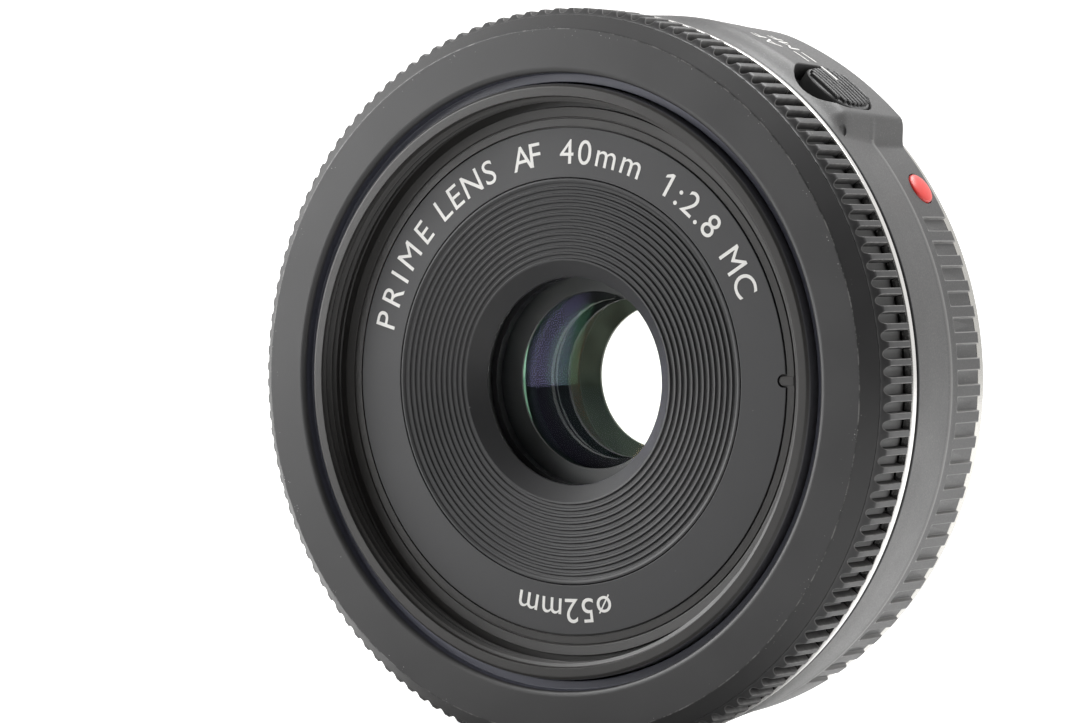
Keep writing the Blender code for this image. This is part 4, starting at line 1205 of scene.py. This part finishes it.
def laid_out(text, height):
    """[(centre, verts, faces)] of each letter of text, and the text's full width."""
    scale = height / max(y for _, y in glyph_mesh("H")[0])
    mark = glyph_right("l")
    letters = []
    for index, letter in enumerate(text):
        start = (glyph_right(text[:index] + "l") - mark) * scale if index else 0.0
        verts, faces = glyph_mesh(letter)
        verts = [(x * scale, y * scale) for x, y in verts]
        if letter == "1":
            # The built-in font's 1 is a bare stroke, so it gets a flag.
            left, top = min(x for x, _ in verts), max(y for _, y in verts)
            faces = faces + [tuple(len(verts) + index for index in range(4))]
            verts += [
                (left, top), (left - 0.24 * height, top - 0.17 * height),
                (left - 0.24 * height, top - 0.3 * height), (left, top - 0.17 * height),
            ]
        left, right = min(x for x, _ in verts), max(x for x, _ in verts)
        centre = (left + right) / 2
        verts = [(x - centre, y) for x, y in verts]
        letters.append((start + centre, right - left, verts, faces))
    first = letters[0][0] - letters[0][1] / 2
    width = letters[-1][0] + letters[-1][1] / 2 - first
    letters = [(centre - first, verts, faces) for centre, _, verts, faces in letters]
    return letters, width


def add_raised(bm, faces, low, high):
    """Raised flat shapes: low and high are the lower and upper places of each point."""
    lower = [bm.verts.new(point) for point in low]
    upper = [bm.verts.new(point) for point in high]
    edges = {}
    for face in faces:
        bm.faces.new([upper[index] for index in face])
        bm.faces.new([lower[index] for index in reversed(face)])
        for first, second in zip(face, face[1:] + face[:1]):
            edges[(first, second)] = True
    for first, second in edges:
        if (second, first) not in edges:
            bm.faces.new([upper[second], upper[first], lower[first], lower[second]])


def write_on_name_ring(bm, text, start_angle, end_angle):
    """Writes clockwise round the front, spaced to end at end_angle."""
    middle_radius = LETTER_BASE_RADIUS + LETTER_HEIGHT / 2
    letters, width = laid_out(text, LETTER_HEIGHT)
    wanted = math.radians(abs(start_angle - end_angle)) * middle_radius
    extra = (wanted - width) / (len(text) - 1)
    for index, (centre, verts, faces) in enumerate(letters):
        angle = start_angle - math.degrees((centre + extra * index) / middle_radius)
        outward = Vector(polar(1.0, angle))
        onward = Vector((outward.y, -outward.x))
        low, high = [], []
        for x, y in verts:
            flat = outward * (LETTER_BASE_RADIUS + y) + onward * x
            level = name_surface(flat.length)
            low.append((flat.x, level + 0.03, flat.y))
            high.append((flat.x, level - LETTER_RISE, flat.y))
        add_raised(bm, faces, low, high)


def name_surface(radius):
    share = (radius - NAME_INNER_RADIUS) / (NAME_RADIUS - NAME_INNER_RADIUS)
    return NAME_FRONT_Y + (NAME_OUTER_Y - NAME_FRONT_Y) * share


def build_lettering():
    bm = bmesh.new()
    for word in NAME_WORDS:
        write_on_name_ring(bm, *word)
    letters = finish_mesh("name_lettering", bm, WHITE_LOOK, smooth=20.0)
    place(letters, "optical_unit", "name_ring_plastic")


def write_on_plateau(bm, text, y):
    """Writes words to be read from behind and above the lens."""
    height = PLATEAU_WORD_HEIGHT
    letters, width = laid_out(text, height)
    for centre, verts, faces in letters:
        low, high = [], []
        for x, up in verts:
            side = centre - width / 2 + x
            at_y = y - up + height / 2
            here = PLATEAU_WORD_ANGLE + math.degrees(side / PLATEAU_WORD_RADIUS)
            surface = barrel_top(at_y, here)
            low.append(on_barrel(0.0, at_y, surface - 0.05, here))
            high.append(on_barrel(0.0, at_y, surface + LETTER_RISE, here))
        add_raised(bm, faces, low, high)


def add_stroke(bm, first, last, width, lift, surface):
    """A painted line along the circumference between two (angle, y) points."""
    steps = 8
    sides = [[], [], [], []]
    for step in range(steps + 1):
        share = step / steps
        angle = first[0] + (last[0] - first[0]) * share
        y = first[1] + (last[1] - first[1]) * share
        for row, (shift, level) in zip(sides, ((-1, -0.05), (-1, lift), (1, lift), (1, -0.05))):
            at_y = y + shift * width / 2
            row.append(bm.verts.new(on_barrel(0.0, at_y, surface(at_y, angle) + level, angle)))
    bridge(bm, sides + sides[:1], wrap=False)
    bm.faces.new([row[0] for row in sides])
    bm.faces.new([row[-1] for row in reversed(sides)])


def build_switch_marks():
    bm = bmesh.new()
    for word, y in PLATEAU_WORDS:
        write_on_plateau(bm, word, y)
    for y in (-8.7, -7.2):
        add_stroke(bm, (59.0, y), (56.0, y), 0.28, LETTER_RISE, barrel_top)
    marks = finish_mesh("switch_lettering", bm, WHITE_LOOK, smooth=20.0)
    place(marks, "root", "barrel_plastic")
    bm = bmesh.new()
    add_stroke(bm, (54.2, -8.1), (50.8, -8.1), 0.3, 0.02, lambda *_: KNOB_RIB_TOP)
    line = finish_mesh("switch_index_line", bm, WHITE_LOOK, smooth=20.0)
    place(line, "focus_switch_body", "switch_plastic")


# ---- Glass and lens cells ----


def sagitta(curve_radius, radius):
    if curve_radius == 0.0:
        return 0.0
    size = abs(curve_radius)
    return math.copysign(size - math.sqrt(size * size - radius * radius), curve_radius)


def build_glass_piece(name, nodes, curves, look, slot):
    """Glass with a ground edge, between the extents of one CAD node or a cemented pair."""
    edge, front, _ = reach(nodes[0])
    rear = reach(nodes[-1])[2]
    rise, drop = sagitta(curves[0], edge), sagitta(curves[1], edge)
    front_vertex = front - min(rise, 0.0)
    rear_vertex = rear - max(drop, 0.0)
    radii = [edge * step / 14 for step in range(15)]
    outline = [(radius, front_vertex + sagitta(curves[0], radius)) for radius in radii]
    outline += [(radius, rear_vertex + sagitta(curves[1], radius)) for radius in radii[::-1]]
    glass = turned_mesh(name, outline, look, 120)
    place(glass, "optical_unit", slot, *nodes)


def build_glass():
    violet = glass_look(
        "coating_violet", (0.99, 0.99, 0.99), (0.42, 0.36, 0.75), (0.7, 0.75, 1.0), 0.22
    )
    green = glass_look(
        "coating_green", (0.985, 0.995, 0.985), (0.3, 0.75, 0.45), (0.6, 0.85, 0.75), 0.4
    )
    amber = glass_look(
        "coating_amber", (0.99, 0.99, 0.985), (0.85, 0.5, 0.25), (0.75, 0.7, 0.85), 0.4
    )
    front = ("front_doublet_crown", "front_doublet_flint")
    rear = ("rear_doublet_flint", "rear_doublet_crown")
    for name, nodes, curves, look, slot in (
        ("front_element_glass", ("front_element",), (24.0, 40.0), violet, "coated_glass"),
        ("front_doublet_glass", front, (30.0, 0.0), green, "optical_glass"),
        ("rear_doublet_glass", rear, (-20.0, -30.0), amber, "optical_glass"),
        ("rear_element_glass", ("rear_element",), (0.0, -40.0), violet, "coated_glass"),
    ):
        build_glass_piece(name, nodes, curves, look, slot)


def build_black_tube(name, corners, look, node, segments):
    tube = turned_mesh(name, rounded(corners, 3), look, segments)
    place(tube, "optical_unit", "inner_black_plastic", node)


def build_cells():
    front = [
        (12.4, -18.2), (12.4, -13.75), (14.7, -13.75), (14.7, -12.8), (12.8, -12.8),
        (12.8, -11.75), (9.05, -11.75), (9.05, -14.95), (8.2, -15.1, 0.05),
        (8.2, -15.4, 0.05), (10.35, -15.7, 0.05), (10.35, -18.2, 0.05),
    ]
    build_black_tube("front_cell_tube", front, CELL_LOOK, "front_lens_cell", 180)
    rear = [
        (14.7, -8.1, 0.05), (14.7, -7.5), (11.3, -7.5), (11.3, -3.6), (11.9, -3.2),
        (11.9, -1.6), (14.6, -1.6, 0.05), (14.6, -0.8, 0.08), (10.7, -0.8, 0.08),
        (10.7, -3.2), (6.8, -3.8, 0.03), (6.8, -4.1, 0.03), (8.7, -4.6), (8.7, -8.1),
    ]
    build_black_tube("rear_cell_tube", rear, REAR_CELL_LOOK, "rear_lens_cell", 180)


def build_optical_tube():
    """The moving tube that carries everything in front; its skirt shows when it is out."""
    outline = [
        (25.4, -12.6, 0.05), (27.1, -12.6, 0.1), (27.1, -19.1, 0.05), (15.0, -19.1),
        (15.0, -12.7), (13.0, -12.7), (13.0, -11.7), (15.0, -11.7), (15.0, -5.4, 0.05),
        (16.4, -5.4, 0.1), (16.4, -17.9), (25.4, -17.9),
    ]
    build_black_tube("optical_tube", outline, BLACK_LOOK, "lens_barrel", SEGMENTS)


# ---- Rear: bayonet, contacts and light baffle ----


def beveled_prism(bm, outline, y_front, y_rear, size, front_bevel=False):
    """A prism along the axis with its rear edges, and perhaps its front, rounded."""
    steps = [(0.0, y_front)]
    if front_bevel:
        steps = [(size, y_front), (0.3 * size, y_front + 0.3 * size), (0.0, y_front + size)]
    steps += [(0.0, y_rear - size), (0.3 * size, y_rear - 0.3 * size), (size, y_rear)]
    flat_stack(bm, outline, [(-inward, y) for inward, y in steps])


def build_mount():
    corners = [
        (MOUNT_BORE_RADIUS, FLANGE_FRONT_Y), (FLANGE_RADIUS, FLANGE_FRONT_Y, 0.08),
        (FLANGE_RADIUS, 0.0, 0.25), (MOUNT_TUBE_RADIUS, 0.0, 0.12),
        (MOUNT_TUBE_RADIUS, MOUNT_REAR_Y, 0.2), (MOUNT_BORE_RADIUS, MOUNT_REAR_Y, 0.12),
    ]
    mount = turned_mesh("bayonet_flange", rounded(corners, 4), MOUNT_LOOK)
    cutter = bmesh.new()
    countersink = ((0.85, -2.0), (0.85, -0.95), (1.72, -0.1), (1.9, 0.005), (2.6, 0.6))
    for angle in MOUNT_SCREWS:
        drill(cutter, polar(MOUNT_SCREW_RADIUS, angle), countersink, 36)
    lock_slot = [(29.6 + x, z) for x, z in stadium(1.8, -1.5, 1.5, 12)]
    flat_stack(cutter, lock_slot, ((0.0, -2.0), (0.0, -0.12), (0.12, 0.005), (0.6, 0.5)))
    carve(mount, cutter, smooth=32.0)
    place(mount, "root", "mount_metal", "bayonet_mount")

    lugs = bmesh.new()
    for angle in LUG_ANGLES:
        outline = ring_outline(24.8, 27.0, angle, LUG_SPAN, 40)
        beveled_prism(lugs, outline, 1.9, 3.4, 0.18, front_bevel=True)
    lug_piece = finish_mesh("bayonet_lugs", lugs, MOUNT_LOOK)
    place(lug_piece, "root", "mount_metal")

    corners = [
        (0.0, -3.1), (0.7, -3.1), (0.7, -1.1), (1.6, -0.22, 0.05), (1.56, -0.07, 0.05),
        (0.0, -0.03),
    ]
    for index, angle in enumerate(MOUNT_SCREWS):
        centre = polar(MOUNT_SCREW_RADIUS, angle)
        cross = cross_cutter(centre, -0.03, 0.95, 0.2, 0.55)
        screw = add_screw(f"flange_screw_{index + 1}", rounded(corners, 3), centre, cross)
        place(screw, "root", "screw_steel", f"mount_screw_{index + 1}")


def add_screw(name, outline, centre, cross):
    screw = turned_mesh(name, outline, SCREW_LOOK, 40, centre)
    carve(screw, cross)
    return screw


def cross_cutter(centre, top, reach_out, half, deep):
    """A tapering cross recess."""
    loops = []
    for scale, y in ((0.45, top - deep), (1.0, top - 0.02), (1.25, top + 0.4)):
        arm = [(reach_out, -half), (reach_out, half), (half, half)]
        loop = []
        for _ in range(4):
            loop += [(centre[0] + scale * x, y, centre[1] + scale * z) for x, z in arm]
            arm = [(-z, x) for x, z in arm]
        loops.append(loop)
    bm = bmesh.new()
    stack(bm, loops)
    return bm


def build_rear_baffle():
    corners = [
        (23.8, 0.4, 0.05), (23.8, 4.2, 0.15), (23.4, 4.6, 0.15), (14.0, 4.0, 0.3),
        (13.0, 3.4, 0.15), (13.0, 2.6, 0.1), (14.2, 2.6, 0.1), (22.6, 3.4, 0.2),
        (22.6, 0.4, 0.05),
    ]
    baffle = turned_mesh("rear_baffle_plate", rounded(corners, 3), REAR_LOOK, 240)
    cutter = bmesh.new()
    outline = ring_outline(19.7, 25.0, CONTACT_ANGLE, 72.0, 40)
    flat_stack(cutter, outline, ((0.0, -1.0), (0.0, 6.0)))
    centres = [polar(PLATE_SCREW_RADIUS, angle) for angle in PLATE_SCREWS]
    for centre in centres:
        drill(cutter, centre, ((0.8, 0.0), (0.8, 6.0)), 30)
    carve(baffle, cutter, smooth=32.0)
    place(baffle, "root", "baffle_plastic", "rear_light_baffle")
    corners = [
        (0.0, -2.2), (0.6, -2.2), (0.6, 4.45), (1.3, 4.45, 0.05), (1.28, 4.95, 0.22),
        (0.0, 4.98),
    ]
    for index, centre in enumerate(centres):
        cross = cross_cutter(centre, 4.97, 0.8, 0.16, 0.4)
        screw = add_screw(f"plate_screw_{index + 1}", rounded(corners, 4), centre, cross)
        place(screw, "root", "screw_steel", f"baffle_screw_{index + 1}")


def build_contacts():
    bm = bmesh.new()
    outline = ring_outline(19.9, 23.7, CONTACT_ANGLE, 70.0, 60)
    beveled_prism(bm, outline, 0.2, 5.3, 0.25)
    block = finish_mesh("contact_rail", bm, REAR_LOOK)
    cutter = bmesh.new()
    middle = (CONTACT_COUNT - 1) / 2
    centres = []
    for index in range(CONTACT_COUNT):
        centres.append(polar(CONTACT_RADIUS, CONTACT_ANGLE + CONTACT_PITCH * (index - middle)))
    well = ((0.85, -1.0), (0.85, 5.2), (0.97, 5.31), (1.6, 6.0))
    for centre in centres:
        drill(cutter, centre, well, 30)
    carve(block, cutter, smooth=32.0)
    place(block, "root", "baffle_plastic", "contact_block")
    outline = rounded([(0.0, 0.4), (0.7, 0.4), (0.7, 5.5, 0.3), (0.0, 5.62)], 6)[:-1]
    outline.append((0.0, 5.6))
    for index, centre in enumerate(centres):
        pin = turned_mesh(f"gold_pin_{index + 1}", outline, GOLD_LOOK, 32, centre)
        place(pin, "root", "gold_contacts", f"contact_pin_{index + 1}")


# ---- CAD nodes that stay, with finished materials ----


def dress_inner_nodes():
    board = moulded("circuit_board", (0.025, 0.13, 0.05), 0.35, grain=0.3, depth=0.004).material
    film = moulded("flex_film", (0.5, 0.22, 0.04), 0.3, grain=0.4, depth=0.002).material
    gear = moulded("gear_plastic", (0.75, 0.73, 0.64), 0.4, grain=0.2, depth=0.004).material
    blade = plain_metal("blade_steel", (0.09, 0.09, 0.095), 0.38, grain=0.3)
    looks = {
        "main_circuit_board": board,
        "contact_flex": film,
        "idler_gear": gear,
        "motor_pinion": BRASS_LOOK,
        "switch_brush": BRASS_LOOK,
        "focus_motor": STEEL_LOOK,
        "aperture_motor": STEEL_LOOK,
    }
    for index in range(3):
        looks[f"cam_follower_{index + 1}"] = BRASS_LOOK
    for index in range(7):
        looks[f"aperture_blade_{index + 1}"] = blade
    for name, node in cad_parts.items():
        if node.hide_render:
            continue
        node.data.materials.clear()
        node.data.materials.append(looks.get(name, BLACK_LOOK))


# ---- Assembly ----

make_camera()
make_surroundings()
make_floor()
build_focus_ring()
build_barrel()
build_index_dot()
build_trim_ring()
build_switch()
build_filter_ring()
build_name_ring()
build_front_baffle()
build_lettering()
build_switch_marks()
build_glass()
build_cells()
build_optical_tube()
build_mount()
build_rear_baffle()
build_contacts()
dress_inner_nodes()
